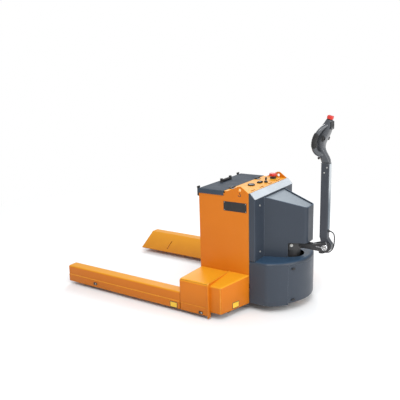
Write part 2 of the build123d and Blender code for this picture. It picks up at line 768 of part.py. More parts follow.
def cover_screws():
    screws = []
    for y in (-screw_y, screw_y):
        for z in screw_heights:
            head = rod_x(cover_side_rear, cover_side_rear + 4, y, z, 8)
            screws += [head + rod_x(cover_side_rear - 9, cover_side_rear, y, z, 4)]
    return screws


def skirt_block(inset, bottom, top, front):
    """The D-shaped lower cover as a solid, moved inwards."""
    half = body_half - inset
    arc = skirt_arc - inset
    corner_x = skirt_arc_x + sqrt(arc**2 - half**2)
    middle = skirt_arc_x + arc
    outline = Polyline((corner_x, -half), (front, -half), (front, half), (corner_x, half))
    outline += ThreePointArc((corner_x, half), (middle, 0), (corner_x, -half))
    return extrude(Pos(0, 0, bottom) * make_face(outline), amount=top - bottom, dir=(0, 0, 1))


def skirt_shell():
    outer = skirt_block(0, skirt_bottom, skirt_top, cover_front)
    corners = [edge for edge in outer.edges().filter_by(Axis.Z) if edge.center().X > cover_front + 9]
    outer = fillet(corners, 60)
    rim = [edge for edge in outer.faces().sort_by(Axis.Z)[-1].edges() if edge.center().X > cover_front + 9]
    outer = fillet(rim, skirt_round)
    inner = skirt_block(skirt_wall, skirt_bottom - 1, skirt_top - skirt_wall, cover_front - 1)
    corners = [edge for edge in inner.edges().filter_by(Axis.Z) if edge.center().X > cover_front + 9]
    inner = fillet(corners, 60 - skirt_wall)
    rim = [edge for edge in inner.faces().sort_by(Axis.Z)[-1].edges() if edge.center().X > cover_front + 9]
    return outer - fillet(rim, skirt_round - skirt_wall)


def door_window(gap):
    return block(steer_x, skirt_nose + 9, -door_half + gap, door_half - gap, door_bottom + gap, door_top - gap)



def lower_cover():
    shell = skirt_shell()
    shell -= block(0, skirt_nose + 9, -door_half, door_half, skirt_bottom - 9, door_bottom) \
        & block(steer_x, skirt_nose + 9, -999, 999, 0, 999)
    shell -= door_window(0)
    shell -= rod_z(steer_x, 0, skirt_top - 9, skirt_top + 9, yoke_ring + 8)
    shell -= block(0, cover_side_rear - cover_wall, -body_half + 12, body_half - 12, skirt_top - 9, skirt_top + 9)
    return shell - block(0, steer_x, -hood_half_rear - 20, hood_half_rear + 20, skirt_top - 9, skirt_top + 9)


def knuckle_leaf(z, side):
    """A hinge leaf on the skirt's skin beside the door's edge: side +1 is fixed, -1 is the door's."""
    reach = 26 / skirt_arc
    start = door_axis_angle + (0.008 if side > 0 else -0.008 - reach)
    leaf = Pos(skirt_arc_x, 0, z + knuckle_height / 2) * Cylinder(skirt_arc + 3, knuckle_height)
    leaf -= Pos(skirt_arc_x, 0, z + knuckle_height / 2) * Cylinder(skirt_arc, knuckle_height + 2)
    far = skirt_arc + 50
    points = [(skirt_arc_x, 0)]
    points += [(skirt_arc_x + far * cos(turn), far * sin(turn)) for turn in (start, start + reach)]
    return leaf & level_plate(points, z, z + knuckle_height)


def hinge_barrel_at(z, side):
    barrel = rod_z(door_axis_x, door_axis_y, z, z + knuckle_height, door_barrel)
    leaf = knuckle_leaf(z, side)
    toward = door_axis_angle + side * 12 / skirt_arc
    middle = skirt_arc + 2
    touch = (skirt_arc_x + middle * cos(toward), middle * sin(toward))
    lean = degrees(atan2(touch[1] - door_axis_y, touch[0] - door_axis_x))
    strap = Pos(door_axis_x, door_axis_y, z + knuckle_height / 2) * Rot(0, 0, lean) \
        * Pos(6, 0, 0) * Box(12, 2, knuckle_height)
    return barrel + leaf + strap


def door_hinge():
    pieces = []
    for z in knuckle_heights:
        fixed = hinge_barrel_at(z, 1)
        pieces += [fixed + rod_z(door_axis_x, door_axis_y, z, z + 2 * knuckle_height + 2, 2.4)]
    return pieces


def rear_door():
    door = skirt_shell() & door_window(door_gap)
    for z in knuckle_heights:
        low = z + knuckle_height + 1
        door += hinge_barrel_at(low, -1)
        door -= rod_z(door_axis_x, door_axis_y, low - 1, low + knuckle_height + 2, 2.4 + 0.1)
    for z in latch_heights:
        door -= latch_place(z) * Cylinder(6 + running, 40)
    return door



def latch_place(z):
    """A frame on the door's skin with its Z axis along the outward normal."""
    x = skirt_arc_x + skirt_arc * cos(latch_angle)
    y = skirt_arc * sin(latch_angle)
    normal = (cos(latch_angle), sin(latch_angle), 0)
    return Location(Plane(origin=(x, y, z), x_dir=(-sin(latch_angle), cos(latch_angle), 0), z_dir=normal))


def door_latch(z):
    knob = Pos(0, 0, 4.5) * Box(28, 14, 8)
    knob = fillet(knob.edges().filter_by(Axis.Z), 5)
    stem = Pos(0, 0, -4) * Cylinder(6, 9.1)
    cam = Pos(0, 6, -11) * Box(12, 24, 4)
    return latch_place(z) * (knob + stem + Pos(0, 0, -8.8) * Cylinder(6, 1) + cam)


# ---- drive unit ----
def drive_gearbox():
    neck = rod_z(steer_x, 0, bearing_bottom, drive_plate_top, motor_radius)
    neck += rod_z(steer_x, 0, bearing_bottom, drive_plate_bottom, bearing_inner)
    box = neck + rod_z(steer_x, 0, bearing_bottom - gear_flange, bearing_bottom, bearing_inner)
    box += block(steer_x - 52, steer_x + 52, leg_inner, leg_outer - 8, wheel_radius, bearing_bottom - 4) \
        & rod_z(steer_x, 0, 0, 999, bearing_inner + 8)
    box += rod_y(steer_x, leg_inner, leg_outer, wheel_radius, 62)
    return box - rod_y(steer_x, leg_inner - 1, leg_inner + 24, wheel_radius, 25 + running)


def drive_tyre():
    tyre = rod_y(steer_x, -wheel_width / 2, wheel_width / 2, wheel_radius, wheel_radius)
    tyre = fillet(tyre.edges().filter_by(GeomType.CIRCLE), 8)
    return tyre - rod_y(steer_x, -99, 99, wheel_radius, wheel_radius - 24)


def drive_hub():
    hub = rod_y(steer_x, -wheel_width / 2 + 3, wheel_width / 2 - 3, wheel_radius, wheel_radius - 24)
    hub -= rod_y(steer_x, -wheel_width, -wheel_width / 2 + 16, wheel_radius, 55)
    for turn in range(5):
        bolt = Pos(0, -wheel_width / 2 + 13, 0) * Rot(90, 0, 0) * Cylinder(8, 8)
        hub += Pos(steer_x, 0, wheel_radius) * Rot(0, 72 * turn, 0) * Pos(38, 0, 0) * bolt
    return hub + rod_y(steer_x, wheel_width / 2 - 3, leg_inner + 22, wheel_radius, 25)


def drive_motor():
    can = rod_z(steer_x, 0, drive_plate_top, motor_top, motor_radius)
    can -= rod_z(steer_x, 0, yoke_high + 12, motor_top - 14, motor_radius + 9) \
        - rod_z(steer_x, 0, yoke_high, motor_top, motor_radius - 6)
    for turn in range(18):
        fin = Pos(motor_radius - 5, 0, 0) * Box(8, 4, motor_top - yoke_high - 26)
        can += Pos(steer_x, 0, (yoke_high + motor_top - 2) / 2) * Rot(0, 0, 20 * turn) * fin
    return can + rod_z(steer_x, 0, motor_top, motor_top + 42, motor_radius - 20)


def steering_yoke():
    ring = rod_z(steer_x, 0, yoke_low, yoke_high, yoke_ring)
    arm = block(steer_x + motor_radius + 6, tilt_x - tilt_radius - 4, -yoke_half, yoke_half,
                yoke_low + 4, yoke_high - 2)
    arm = fillet(arm.edges().filter_by(Axis.X), 8)
    yoke = ring + arm
    clearance = yoke_half + 1
    for y in (-yoke_half - lug_thick, yoke_half - 1):
        y1 = y + lug_thick + 1
        plate = [(tilt_x - 110, yoke_low + 8), (tilt_x - 110, yoke_high - 6),
                 (tilt_x, tilt_z + tilt_radius), (tilt_x, tilt_z - tilt_radius)]
        yoke += side_plate(plate, y, y1) + rod_y(tilt_x, y, y1, tilt_z, tilt_radius)
    yoke -= block(tilt_x - tilt_radius - 4, tilt_x + 99, -clearance + 2, clearance - 2, 0, 999)
    yoke += block(tilt_x - tilt_radius - 14, gland_x, -yoke_half + 4, yoke_half - 4, yoke_low - 14, yoke_low + 6)
    yoke -= rod_y(tilt_x, -99, 99, tilt_z, tiller_pin_radius)
    return yoke - rod_z(steer_x, 0, yoke_low - 1, yoke_high + 1, motor_radius)


def tiller_pin():
    half = yoke_half + lug_thick
    pin = rod_y(tilt_x, -half - 1, half + 1, tilt_z, tiller_pin_radius)
    pin += rod_y(tilt_x, half, half + 6, tilt_z, tiller_pin_radius + 5)
    return pin + rod_y(tilt_x, -half - 6, -half, tilt_z, tiller_pin_radius + 5)


# ---- casters ----
def caster_fork():
    axle_x = caster_x - caster_trail
    inner = caster_width / 2 + 1.5
    disc = rod_z(caster_x, caster_y, caster_swivel_top - 8, caster_swivel_top - 0.5, 22)
    crown_low = 2 * caster_radius + 5
    crown = block(axle_x - 8, caster_x + 16, caster_y - inner - 3, caster_y + inner + 3,
                  crown_low, caster_swivel_top - 8)
    legs = crown + disc
    for y in (caster_y - inner - 3, caster_y + inner):
        legs += side_plate([(axle_x - 10, caster_radius), (axle_x + 10, caster_radius),
                            (caster_x + 16, crown_low + 1), (axle_x - 8, crown_low + 1)], y, y + 3)
        legs += rod_y(axle_x, y, y + 3, caster_radius, 10)
    return legs + rod_y(axle_x, caster_y - inner - 3, caster_y + inner + 3, caster_radius, 5)


def caster_wheel():
    axle_x = caster_x - caster_trail
    wheel = rod_y(axle_x, caster_y - caster_width / 2, caster_y + caster_width / 2, caster_radius, caster_radius)
    wheel = fillet(wheel.edges().filter_by(GeomType.CIRCLE), 5)
    return wheel - rod_y(axle_x, 0, 999, caster_radius, 5 + running)


# ---- tiller ----
def tiller_tube():
    rear = tube_rear
    tube = block(tube_front, rear, -tube_half, tube_half, tube_low, tube_high)
    tube = fillet(tube.edges().filter_by(Axis.Z), 8)
    tube -= block(tube_front + tube_wall, rear - tube_wall, -tube_half + tube_wall, tube_half - tube_wall,
                  tube_low + 30, tube_high + 1)
    half = yoke_half - 2.5
    foot = [(tilt_x - tilt_radius, tilt_z), (tilt_x - tilt_radius, tilt_z + 30), (tube_front + 4, tube_low),
            (rear, tube_low), (tilt_x + tilt_radius, tilt_z + 20), (tilt_x + tilt_radius, tilt_z)]
    knuckle = side_plate(foot, -half, half) + rod_y(tilt_x, -half, half, tilt_z, tilt_radius)
    tube += knuckle
    return tube - rod_y(tilt_x, -99, 99, tilt_z, tiller_pin_radius + 0.1)


def tiller_rear_cover():
    strip = block(tube_rear, tube_rear + strip_thick, -tube_half + 8, tube_half - 8, tube_low + 65, tube_high - 4)
    return fillet(strip.edges().filter_by(Axis.X), 6)


def on_head(set_back, rise):
    """A point of the head, from the tube's front face and end."""
    return (tube_front + set_back, tube_high + rise)


def head_outline():
    front = Spline(on_head(0, 0), on_head(-16, 42), on_head(-41, 85), on_head(-48, 135), on_head(-38, 195),
                   on_head(-6, 260), on_head(30, 312), tangents=[(0, 1), (0.5, 0.85)])
    top = Line(on_head(30, 312), on_head(68, 322))
    rear = Spline(on_head(68, 322), on_head(64, 250), on_head(40, 180), on_head(12, 122), on_head(28, 72),
                  on_head(52, 35), (tube_rear, tube_high), tangents=[(0.02, -1), (0, -1)])
    foot = Line((tube_rear, tube_high), on_head(0, 0))
    return make_face(Curve() + [front, top, rear, foot])


def tiller_head():
    face = Plane.XZ * head_outline()
    console = extrude(face, amount=head_half, both=True)
    flank = [(neck_half, tube_high), (neck_half, tube_high + neck_length), (head_half, tube_high + 150),
             (head_half, tube_high + 215), (tip_half, tube_high + 325)]
    both = flank + [(-y, z) for y, z in reversed(flank)]
    console = console & cross_plate(both, tube_front - 99, tube_rear + 99)
    grips = on_both_sides(grip_loop())
    head = console + grips
    head -= belly_place() * Box(60, 2 * head_half + 2, 30)
    for place in (lift_place(), lower_place()):
        head -= place * Cylinder(button_radius + 0.4, 14)
    head -= horn_place() * Cylinder(horn_stem + 0.4, 14)
    return head - rod_y(throttle_x, -head_half - 1, head_half + 1, throttle_z, 8 + running)


def grip_loop():
    route = [(34, head_half - 8, 258), (7, grip_y - 14, 232), (-16, grip_y, 195), (-26, grip_y + 2, 150),
             (-22, grip_y - 12, 106), (-10, grip_y - 36, 75), (0, neck_half - 9, 62)]
    path = FilletPolyline(*[(tube_front + x, y, tube_high + z) for x, y, z in route], radius=24)
    return sweep(Plane(path @ 0, z_dir=path % 0) * Circle(grip_radius), path=path)


def belly_place():
    """A frame at the end of the head, its Z axis along the head."""
    x, z = on_head(50, 317)
    return Location(Plane(origin=(x, 0, z), x_dir=(0.966, 0, -0.259), z_dir=(0.259, 0, 0.966)))


def lift_place():
    x, z = on_head(65, 262)
    return Location(Plane(origin=(x, -20, z), x_dir=(0, 1, 0), z_dir=(0.987, 0, -0.16)))


def lower_place():
    x, z = on_head(65, 262)
    return Location(Plane(origin=(x, 20, z), x_dir=(0, 1, 0), z_dir=(0.987, 0, -0.16)))


def horn_place():
    x, z = on_head(-14, 38)
    return Location(Plane(origin=(x, 0, z), x_dir=(0, 1, 0), z_dir=(-0.86, 0, -0.51)))


def belly_button():
    pad = Box(38, 2 * tip_half - 2, 24)
    pad = fillet(pad.edges().group_by(Axis.Z)[-1], 7)
    return belly_place() * Pos(0, 0, 3) * pad


def round_button(place):
    cap = Pos(0, 0, 1) * Cylinder(button_radius, 8)
    cap = fillet(cap.edges().group_by(Axis.Z)[-1], 1.5)
    return place * cap


def horn_button():
    cap = Pos(0, 0, 17) * Cylinder(button_radius, 8)
    cap = fillet(cap.edges().group_by(Axis.Z)[-1], 1.5)
    return horn_place() * (cap + Pos(0, 0, 7) * Cylinder(horn_stem, 20))


def throttle():
    shaft = rod_y(throttle_x, -head_half - 10, head_half + 10, throttle_z, 8)
    paddle = side_plate([(throttle_x - 6, throttle_z - 22), (throttle_x + 6, throttle_z - 22),
                         (throttle_x + 9, throttle_z + 22), (throttle_x - 9, throttle_z + 22)],
                        head_half + 2, head_half + 18)
    return shaft + on_both_sides(fillet(paddle.edges().filter_by(Axis.Y), 4))


cable_route = [
    (tube_rear, 0, 596),
    (tube_rear + 26, 0, 596),
    (cable_loop_x, 0, 572),
    (cable_loop_x, 0, 520),
    (cable_loop_x - 6, 0, 474),
    (tilt_x + 26, 0, 440),
    (tilt_x, 0, 431),
    (gland_x, 0, 431),
]


def tiller_cable():
    radii = []
    for before, here, after in zip(cable_route, cable_route[1:], cable_route[2:]):
        run_in = Vector(*here) - Vector(*before)
        run_out = Vector(*after) - Vector(*here)
        half_turn = radians(run_in.get_angle(run_out)) / 2
        radii += [0.45 * min(run_in.length, run_out.length) / tan(half_turn)]
    path = FilletPolyline(*cable_route, radius=radii)
    tube = sweep(Plane(path @ 0, z_dir=path % 0) * Circle(cable_radius), path=path)
    print("cable radii", [round(radius) for radius in radii], "length", round(path.length),
          "volume ratio", round(tube.volume / (path.length * 3.14159 * cable_radius**2), 3))
    return tube


parts = {}
parts.update(both_sides("fork", fork()))
parts.update(both_sides("shoulder", shoulder()))
parts.update(both_sides("side_fairing", side_fairing()))
parts.update(both_sides("roller_arm", load_arm()))
parts.update(both_sides("load_roller", load_roller()))
parts.update(both_sides("push_rod", push_rod()))
parts.update(both_sides("caster_fork", caster_fork()))
parts.update(both_sides("caster_wheel", caster_wheel()))
parts["battery_compartment"] = battery_compartment()
parts["console_panel"] = console_panel()
parts["console_fittings"] = console_fittings()
parts["key"] = key()
parts["stop_button"] = stop_button()
parts["battery"] = battery()
parts["hydraulic_unit"] = hydraulic_unit()
parts["motor_controller"] = motor_controller()
parts["frame_pins"] = frame_pins()
parts["frame_bushes"] = frame_bushes()
parts["lid"] = lid_panel()
parts["lid_handle"] = lid_handle()
parts["corner_buffers"] = corner_buffers()
parts["lid_hardware"] = lid_hardware()
parts["rocker_shaft"] = rocker_shaft()
parts["drive_chassis"] = drive_chassis()
parts["guide_rods"] = guide_rods()
parts["lift_cylinder"] = lift_cylinder()
parts["cylinder_rod"] = cylinder_rod()
parts["steering_bearing"] = steering_bearing()
parts["rear_cover"] = rear_cover()
parts["cover_top_panel"] = cover_top_panel()
parts["cover_screws"] = cover_screws()
parts["lower_cover"] = lower_cover()
parts["door_hinge"] = door_hinge()
parts["rear_door"] = rear_door()
parts["door_latch_lower"] = door_latch(latch_heights[0])
parts["door_latch_upper"] = door_latch(latch_heights[1])
parts["drive_gearbox"] = drive_gearbox()
parts["drive_tyre"] = drive_tyre()
parts["drive_hub"] = drive_hub()
parts["drive_motor"] = drive_motor()
parts["steering_yoke"] = steering_yoke()
parts["tiller_pin"] = tiller_pin()
parts["tiller_tube"] = tiller_tube()
parts["tiller_rear_cover"] = tiller_rear_cover()
parts["tiller_head"] = tiller_head()
parts["belly_button"] = belly_button()
parts["lift_button"] = round_button(lift_place())
parts["lower_button"] = round_button(lower_place())
parts["horn_button"] = horn_button()
parts["throttle"] = throttle()
parts["tiller_cable"] = tiller_cable()

os.makedirs("parts", exist_ok=True)
for name, shape in parts.items():
    solids = shape if isinstance(shape, list) else shape.solids()
    whole = Compound([solid for piece in solids for solid in piece.solids()])
    export_step(Pos(-origin_x, 0, 0) * whole, f"parts/{name}.step")
print(len(parts), "nodes, origin at x =", origin_x, "arm swing", round(arm_swing, 3))
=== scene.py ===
import math

import bpy
from mathutils import Matrix, Vector


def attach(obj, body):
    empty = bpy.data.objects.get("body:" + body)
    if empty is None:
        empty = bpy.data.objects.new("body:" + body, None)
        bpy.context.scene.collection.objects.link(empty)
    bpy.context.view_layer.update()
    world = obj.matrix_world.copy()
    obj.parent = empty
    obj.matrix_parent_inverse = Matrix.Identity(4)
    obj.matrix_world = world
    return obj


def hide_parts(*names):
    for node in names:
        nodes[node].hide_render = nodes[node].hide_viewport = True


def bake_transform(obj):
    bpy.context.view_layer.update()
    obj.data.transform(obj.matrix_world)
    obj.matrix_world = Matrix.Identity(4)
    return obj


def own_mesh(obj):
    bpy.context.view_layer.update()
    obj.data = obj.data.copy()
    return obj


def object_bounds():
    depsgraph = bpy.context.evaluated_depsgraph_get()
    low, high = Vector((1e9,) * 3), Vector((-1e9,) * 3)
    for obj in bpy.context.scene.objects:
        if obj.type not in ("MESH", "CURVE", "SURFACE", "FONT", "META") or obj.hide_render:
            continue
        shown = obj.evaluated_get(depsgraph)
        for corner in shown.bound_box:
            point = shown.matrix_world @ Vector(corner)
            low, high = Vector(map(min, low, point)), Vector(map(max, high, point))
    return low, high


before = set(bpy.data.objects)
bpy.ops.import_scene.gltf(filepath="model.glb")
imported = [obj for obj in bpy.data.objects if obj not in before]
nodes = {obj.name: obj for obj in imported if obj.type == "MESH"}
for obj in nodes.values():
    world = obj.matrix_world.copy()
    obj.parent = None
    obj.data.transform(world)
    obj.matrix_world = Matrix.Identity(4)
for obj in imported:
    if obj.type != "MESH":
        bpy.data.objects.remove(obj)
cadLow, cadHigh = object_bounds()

leftRight = (-1, 1)    # operator's left is -Y
print("frame loaded", len(nodes), "nodes")


# camera at standing height, in front and to the operator's left of the truck
cameraSetup = {
    "place": (2.3394, -3.6632, 1.7580),
    "yaw": 33.73,
    "pitch": 13.45,
    "roll": -1.56,
    "lens": 49.44,
    "sensor": 36,
}


def makeCamera(setup):
    yaw, pitch, roll = (math.radians(setup[key]) for key in ("yaw", "pitch", "roll"))
    back = Vector((math.sin(yaw) * math.cos(pitch), -math.cos(yaw) * math.cos(pitch), math.sin(pitch)))
    side = (-back).cross(Vector((0, 0, 1))).normalized()
    up = side.cross(-back)
    right = side * math.cos(roll) + up * math.sin(roll)
    upright = up * math.cos(roll) - side * math.sin(roll)
    turn = Matrix((right, upright, back)).transposed().to_4x4()
    bpy.ops.object.camera_add(location=setup["place"])
    camera = bpy.context.object
    camera.name = "camera"
    camera.matrix_world = Matrix.Translation(setup["place"]) @ turn
    camera.data.lens = setup["lens"]
    camera.data.sensor_width = setup["sensor"]
    bpy.context.scene.camera = camera


makeCamera(cameraSetup)


midNoise = (0.3, 0.7)    # most of a noise lies between these


# nodes of the materials, every pattern on Object coordinates
class Paint:
    def __init__(self, name):
        self.material = bpy.data.materials.new(name)
        self.material.use_nodes = True
        self.tree = self.material.node_tree
        self.shader = self.tree.nodes["Principled BSDF"]
        self.place = self.add("ShaderNodeTexCoord").outputs["Object"]

    def add(self, kind, **settings):
        node = self.tree.nodes.new(kind)
        for key, value in settings.items():
            setattr(node, key, value)
        return node

    def link(self, source, target):
        self.tree.links.new(source, target)

    def stretched(self, scale):    # the place, scaled by a different amount each way
        mapping = self.add("ShaderNodeMapping")
        mapping.inputs["Scale"].default_value = scale
        self.link(self.place, mapping.inputs["Vector"])
        return mapping.outputs["Vector"]

    def noise(self, scale, detail=4, vector=None, rough=0.55):
        noise = self.add("ShaderNodeTexNoise")
        noise.inputs["Scale"].default_value = scale
        noise.inputs["Detail"].default_value = detail
        noise.inputs["Roughness"].default_value = rough
        self.link(vector or self.place, noise.inputs["Vector"])
        return noise.outputs["Fac"]

    def spread(self, value, low, high, toLow=0.0, toHigh=1.0):
        ranged = self.add("ShaderNodeMapRange")
        for key, number in (("From Min", low), ("From Max", high), ("To Min", toLow), ("To Max", toHigh)):
            ranged.inputs[key].default_value = number
        self.link(value, ranged.inputs["Value"])
        return ranged.outputs["Result"]

    def math(self, operation, first, second):
        node = self.add("ShaderNodeMath", operation=operation)
        for number, value in enumerate((first, second)):
            if isinstance(value, (int, float)):
                node.inputs[number].default_value = value
            else:
                self.link(value, node.inputs[number])
        return node.outputs["Value"]

    def mix(self, amount, first, second):
        node = self.add("ShaderNodeMix", data_type="RGBA")
        self.link(amount, node.inputs[0])
        for socket, value in ((6, first), (7, second)):
            if isinstance(value, tuple):
                node.inputs[socket].default_value = (*value, 1)
            else:
                self.link(value, node.inputs[socket])
        return node.outputs[2]

    def softEdges(self, radius):    # rounded look on folded and cut edges
        bevel = self.add("ShaderNodeBevel", samples=4)
        bevel.inputs["Radius"].default_value = radius
        return bevel.outputs["Normal"]

    def edgeWearAndHighlight(self, normal):    # 1 where the surface turns sharply, for edge wear and a painted edge highlight
        flat = self.add("ShaderNodeNewGeometry").outputs["Normal"]
        turn = self.add("ShaderNodeVectorMath", operation="DOT_PRODUCT")
        self.link(normal, turn.inputs[0])
        self.link(flat, turn.inputs[1])
        return self.spread(turn.outputs["Value"], 0.985, 0.88)    # cosines of a slight and a clear turn

    def bump(self, height, strength, distance, normal=None):
        bump = self.add("ShaderNodeBump")
        bump.inputs["Strength"].default_value = strength
        bump.inputs["Distance"].default_value = distance
        self.link(height, bump.inputs["Height"])
        if normal:
            self.link(normal, bump.inputs["Normal"])
        return bump.outputs["Normal"]

    def upward(self, low, high):    # 0 on walls, 1 on faces that look up
        turn = self.add("ShaderNodeSeparateXYZ")
        self.link(self.add("ShaderNodeNewGeometry").outputs["Normal"], turn.inputs["Vector"])
        return self.spread(turn.outputs["Z"], low, high)

    def height(self):
        parts = self.add("ShaderNodeSeparateXYZ")
        self.link(self.place, parts.inputs["Vector"])
        return parts.outputs["Z"]

    def set(self, **values):
        for key, value in values.items():
            socket = self.shader.inputs[key.replace("_", " ")]
            if isinstance(value, (int, float, tuple)):
                socket.default_value = value
            else:
                self.link(value, socket)


paintGrain = {"edgeSpots": 24, "edgeSpotsFrom": 0.4, "edgeSpotsTo": 0.62,
              "scuffs": 60, "scuffsFrom": 0.66, "scuffsTo": 0.72,
              "dull": 0.07, "bright": 0.06, "coatRough": 0.18, "peel": 0.0006}


def coatedSteel(name, look):    # orange peel, a second colour towards the bottom, painted light and shade on faces that look up, lighter folded edges from wear and a painted highlight
    paint = Paint(name)
    grain = paintGrain
    tone = paint.spread(paint.noise(look["patch"], 6), *midNoise)
    colour = paint.mix(tone, look["dark"], look["light"])
    # painted light and shade: faces that look up take a separate colour for the studio light and sky falling
    # on top faces
    colour = paint.mix(paint.upward(0.1, 0.9), colour, look["paintedTopShading"])
    # towards the bottom the colour shifts to a second colour in blotches, darker on the orange and grey paint
    lowDown = paint.spread(paint.height(), look["lowDownTop"], 0.0, 0, look["lowDownAmount"])
    film = paint.spread(paint.noise(look["film"], 3), 0.2, 0.75, 0.55, 1)
    colour = paint.mix(paint.math("MULTIPLY", lowDown, film), colour, look["lowDownColour"])
    scuffs = paint.noise(grain["scuffs"], 3, paint.stretched(look["scuffWay"]), 0.7)
    scuffs = paint.spread(scuffs, grain["scuffsFrom"], grain["scuffsTo"], 0, look["scuff"])
    colour = paint.mix(scuffs, colour, look["bare"])
    edges = paint.softEdges(look["edge"])
    # lighter colour on sharp edges: partly paint worn through, partly a painted highlight along the folds
    edgeSpots = paint.noise(grain["edgeSpots"], 6)
    edgeSpots = paint.spread(edgeSpots, grain["edgeSpotsFrom"], grain["edgeSpotsTo"], look["wearAndHighlight"] / 2, look["wearAndHighlight"])
    colour = paint.mix(paint.math("MULTIPLY", paint.edgeWearAndHighlight(edges), edgeSpots), colour, look["edgeColour"])
    rough = paint.noise(look["patch"] * 5, 5)
    rough = paint.spread(rough, *midNoise, look["rough"] - grain["bright"], look["rough"] + grain["dull"])
    peel = paint.bump(paint.noise(look["peel"], 2), look["peelDepth"], grain["peel"], edges)
    paint.set(Base_Color=colour, Roughness=rough, Specular_IOR_Level=look["shine"], Coat_Weight=look["coat"],
              Coat_Roughness=grain["coatRough"], Normal=peel)
    return paint.material


plasticGrain = {"rub": 45, "rubWay": (1, 1, 0.15), "rubFrom": 0.62, "rubTo": 0.75,
                "dull": 0.08, "bright": 0.05, "coatRough": 0.25, "spark": 0.0004}


def mouldedPlastic(name, look):    # fine spark grain, soft colour drift, faint handling marks, painted light and shade on faces that look up, lighter edges from wear and a painted highlight
    plastic = Paint(name)
    grain = plasticGrain
    tone = plastic.spread(plastic.noise(look["patch"], 5), *midNoise)
    colour = plastic.mix(tone, look["dark"], look["light"])
    # painted light and shade: faces that look up take a separate colour for the light and sky falling on them
    if "paintedTopShading" in look:
        colour = plastic.mix(plastic.upward(0.55, 0.98), colour, look["paintedTopShading"])
    rub = plastic.noise(grain["rub"], 4, plastic.stretched(grain["rubWay"]), 0.7)
    rub = plastic.spread(rub, grain["rubFrom"], grain["rubTo"], 0, look["rub"])
    colour = plastic.mix(rub, colour, look["rubColour"])
    edges = plastic.softEdges(look["edge"])
    # lighter colour on sharp edges: partly wear, partly a painted highlight along the rims
    wearAndHighlight = plastic.math("MULTIPLY", plastic.edgeWearAndHighlight(edges), look["wearAndHighlight"])
    colour = plastic.mix(wearAndHighlight, colour, look["edgeColour"])
    rough = plastic.noise(look["patch"] * 6, 5)
    rough = plastic.spread(rough, *midNoise, look["rough"] - grain["bright"], look["rough"] + grain["dull"])
    spark = plastic.bump(plastic.noise(look["grain"], 3, None, 0.7), look["grainDepth"], grain["spark"], edges)
    plastic.set(Base_Color=colour, Roughness=rough, Specular_IOR_Level=look["shine"], Coat_Weight=look["coat"],
                Coat_Roughness=grain["coatRough"], Normal=spark)
    return plastic.material


metalGrain = {"edge": 0.0008, "marks": 0.0004, "dull": 0.12, "bright": 0.08}


def bareMetal(name, look):    # plated, ground, cast or sintered, with stretched tool marks
    metal = Paint(name)
    grain = metalGrain
    tone = metal.spread(metal.noise(look["patch"], 6), *midNoise)
    colour = metal.mix(tone, look["dark"], look["light"])
    marks = metal.noise(look["marks"], 4, metal.stretched(look["way"]), 0.65)
    rough = metal.spread(marks, *midNoise, look["rough"] - grain["bright"], look["rough"] + grain["dull"])
    cuts = metal.bump(marks, look["markDepth"], grain["marks"], metal.softEdges(grain["edge"]))
    metal.set(Base_Color=colour, Roughness=rough, Metallic=look["metal"], Normal=cuts)
    return metal.material


orangeLook = {
    "light": (0.620, 0.172, 0.006), "dark": (0.575, 0.155, 0.005), "paintedTopShading": (0.80, 0.345, 0.014),
    "patch": 1.6,
    "lowDownColour": (0.42, 0.118, 0.006), "lowDownAmount": 0.9, "lowDownTop": 0.20, "film": 4,
    "bare": (0.74, 0.30, 0.04), "scuff": 0.06, "scuffWay": (0.25, 1, 1.6),
    "edge": 0.0035, "edgeColour": (0.92, 0.43, 0.07), "wearAndHighlight": 0.95,
    "rough": 0.42, "shine": 0.22, "coat": 0.04, "peel": 420, "peelDepth": 0.05,
}
chassisLook = {
    "light": (0.022, 0.022, 0.024), "dark": (0.012, 0.012, 0.013), "paintedTopShading": (0.030, 0.030, 0.032), "patch": 5,
    "lowDownColour": (0.10, 0.085, 0.07), "lowDownAmount": 0.5, "lowDownTop": 0.5, "film": 30,
    "bare": (0.2, 0.2, 0.2), "scuff": 0.3, "scuffWay": (1, 0.3, 1),
    "edge": 0.002, "edgeColour": (0.22, 0.22, 0.22), "wearAndHighlight": 0.5,
    "rough": 0.38, "shine": 0.5, "coat": 0.15, "peel": 500, "peelDepth": 0.2,
}
tillerLook = {
    "light": (0.042, 0.047, 0.058), "dark": (0.034, 0.038, 0.047), "paintedTopShading": (0.07, 0.076, 0.086), "patch": 6,
    "lowDownColour": (0.02, 0.02, 0.022), "lowDownAmount": 0.8, "lowDownTop": 0.64, "film": 30,
    "bare": (0.26, 0.27, 0.28), "scuff": 0.22, "scuffWay": (1, 1, 0.12),
    "edge": 0.003, "edgeColour": (0.26, 0.27, 0.29), "wearAndHighlight": 0.55,
    "rough": 0.36, "shine": 0.3, "coat": 0.12, "peel": 700, "peelDepth": 0.16,
}
coverLook = {
    "light": (0.036, 0.046, 0.063), "dark": (0.031, 0.040, 0.055), "paintedTopShading": (0.030, 0.066, 0.118),
    "patch": 1.6,
    "rub": 0.12, "rubColour": (0.09, 0.105, 0.13),
    "edge": 0.005, "edgeColour": (0.14, 0.165, 0.205), "wearAndHighlight": 0.55,
    "rough": 0.38, "shine": 0.3, "coat": 0.12, "grain": 700, "grainDepth": 0.08,
}
panelLook = {
    "light": (0.70, 0.74, 0.78), "dark": (0.56, 0.60, 0.64), "paintedTopShading": (0.27, 0.31, 0.35), "patch": 3,
    "rub": 0.0, "rubColour": (0.62, 0.63, 0.64),
    "edge": 0.004, "edgeColour": (0.74, 0.75, 0.76), "wearAndHighlight": 0.6,
    "rough": 0.34, "shine": 0.25, "coat": 0.0, "grain": 700, "grainDepth": 0.02,
}
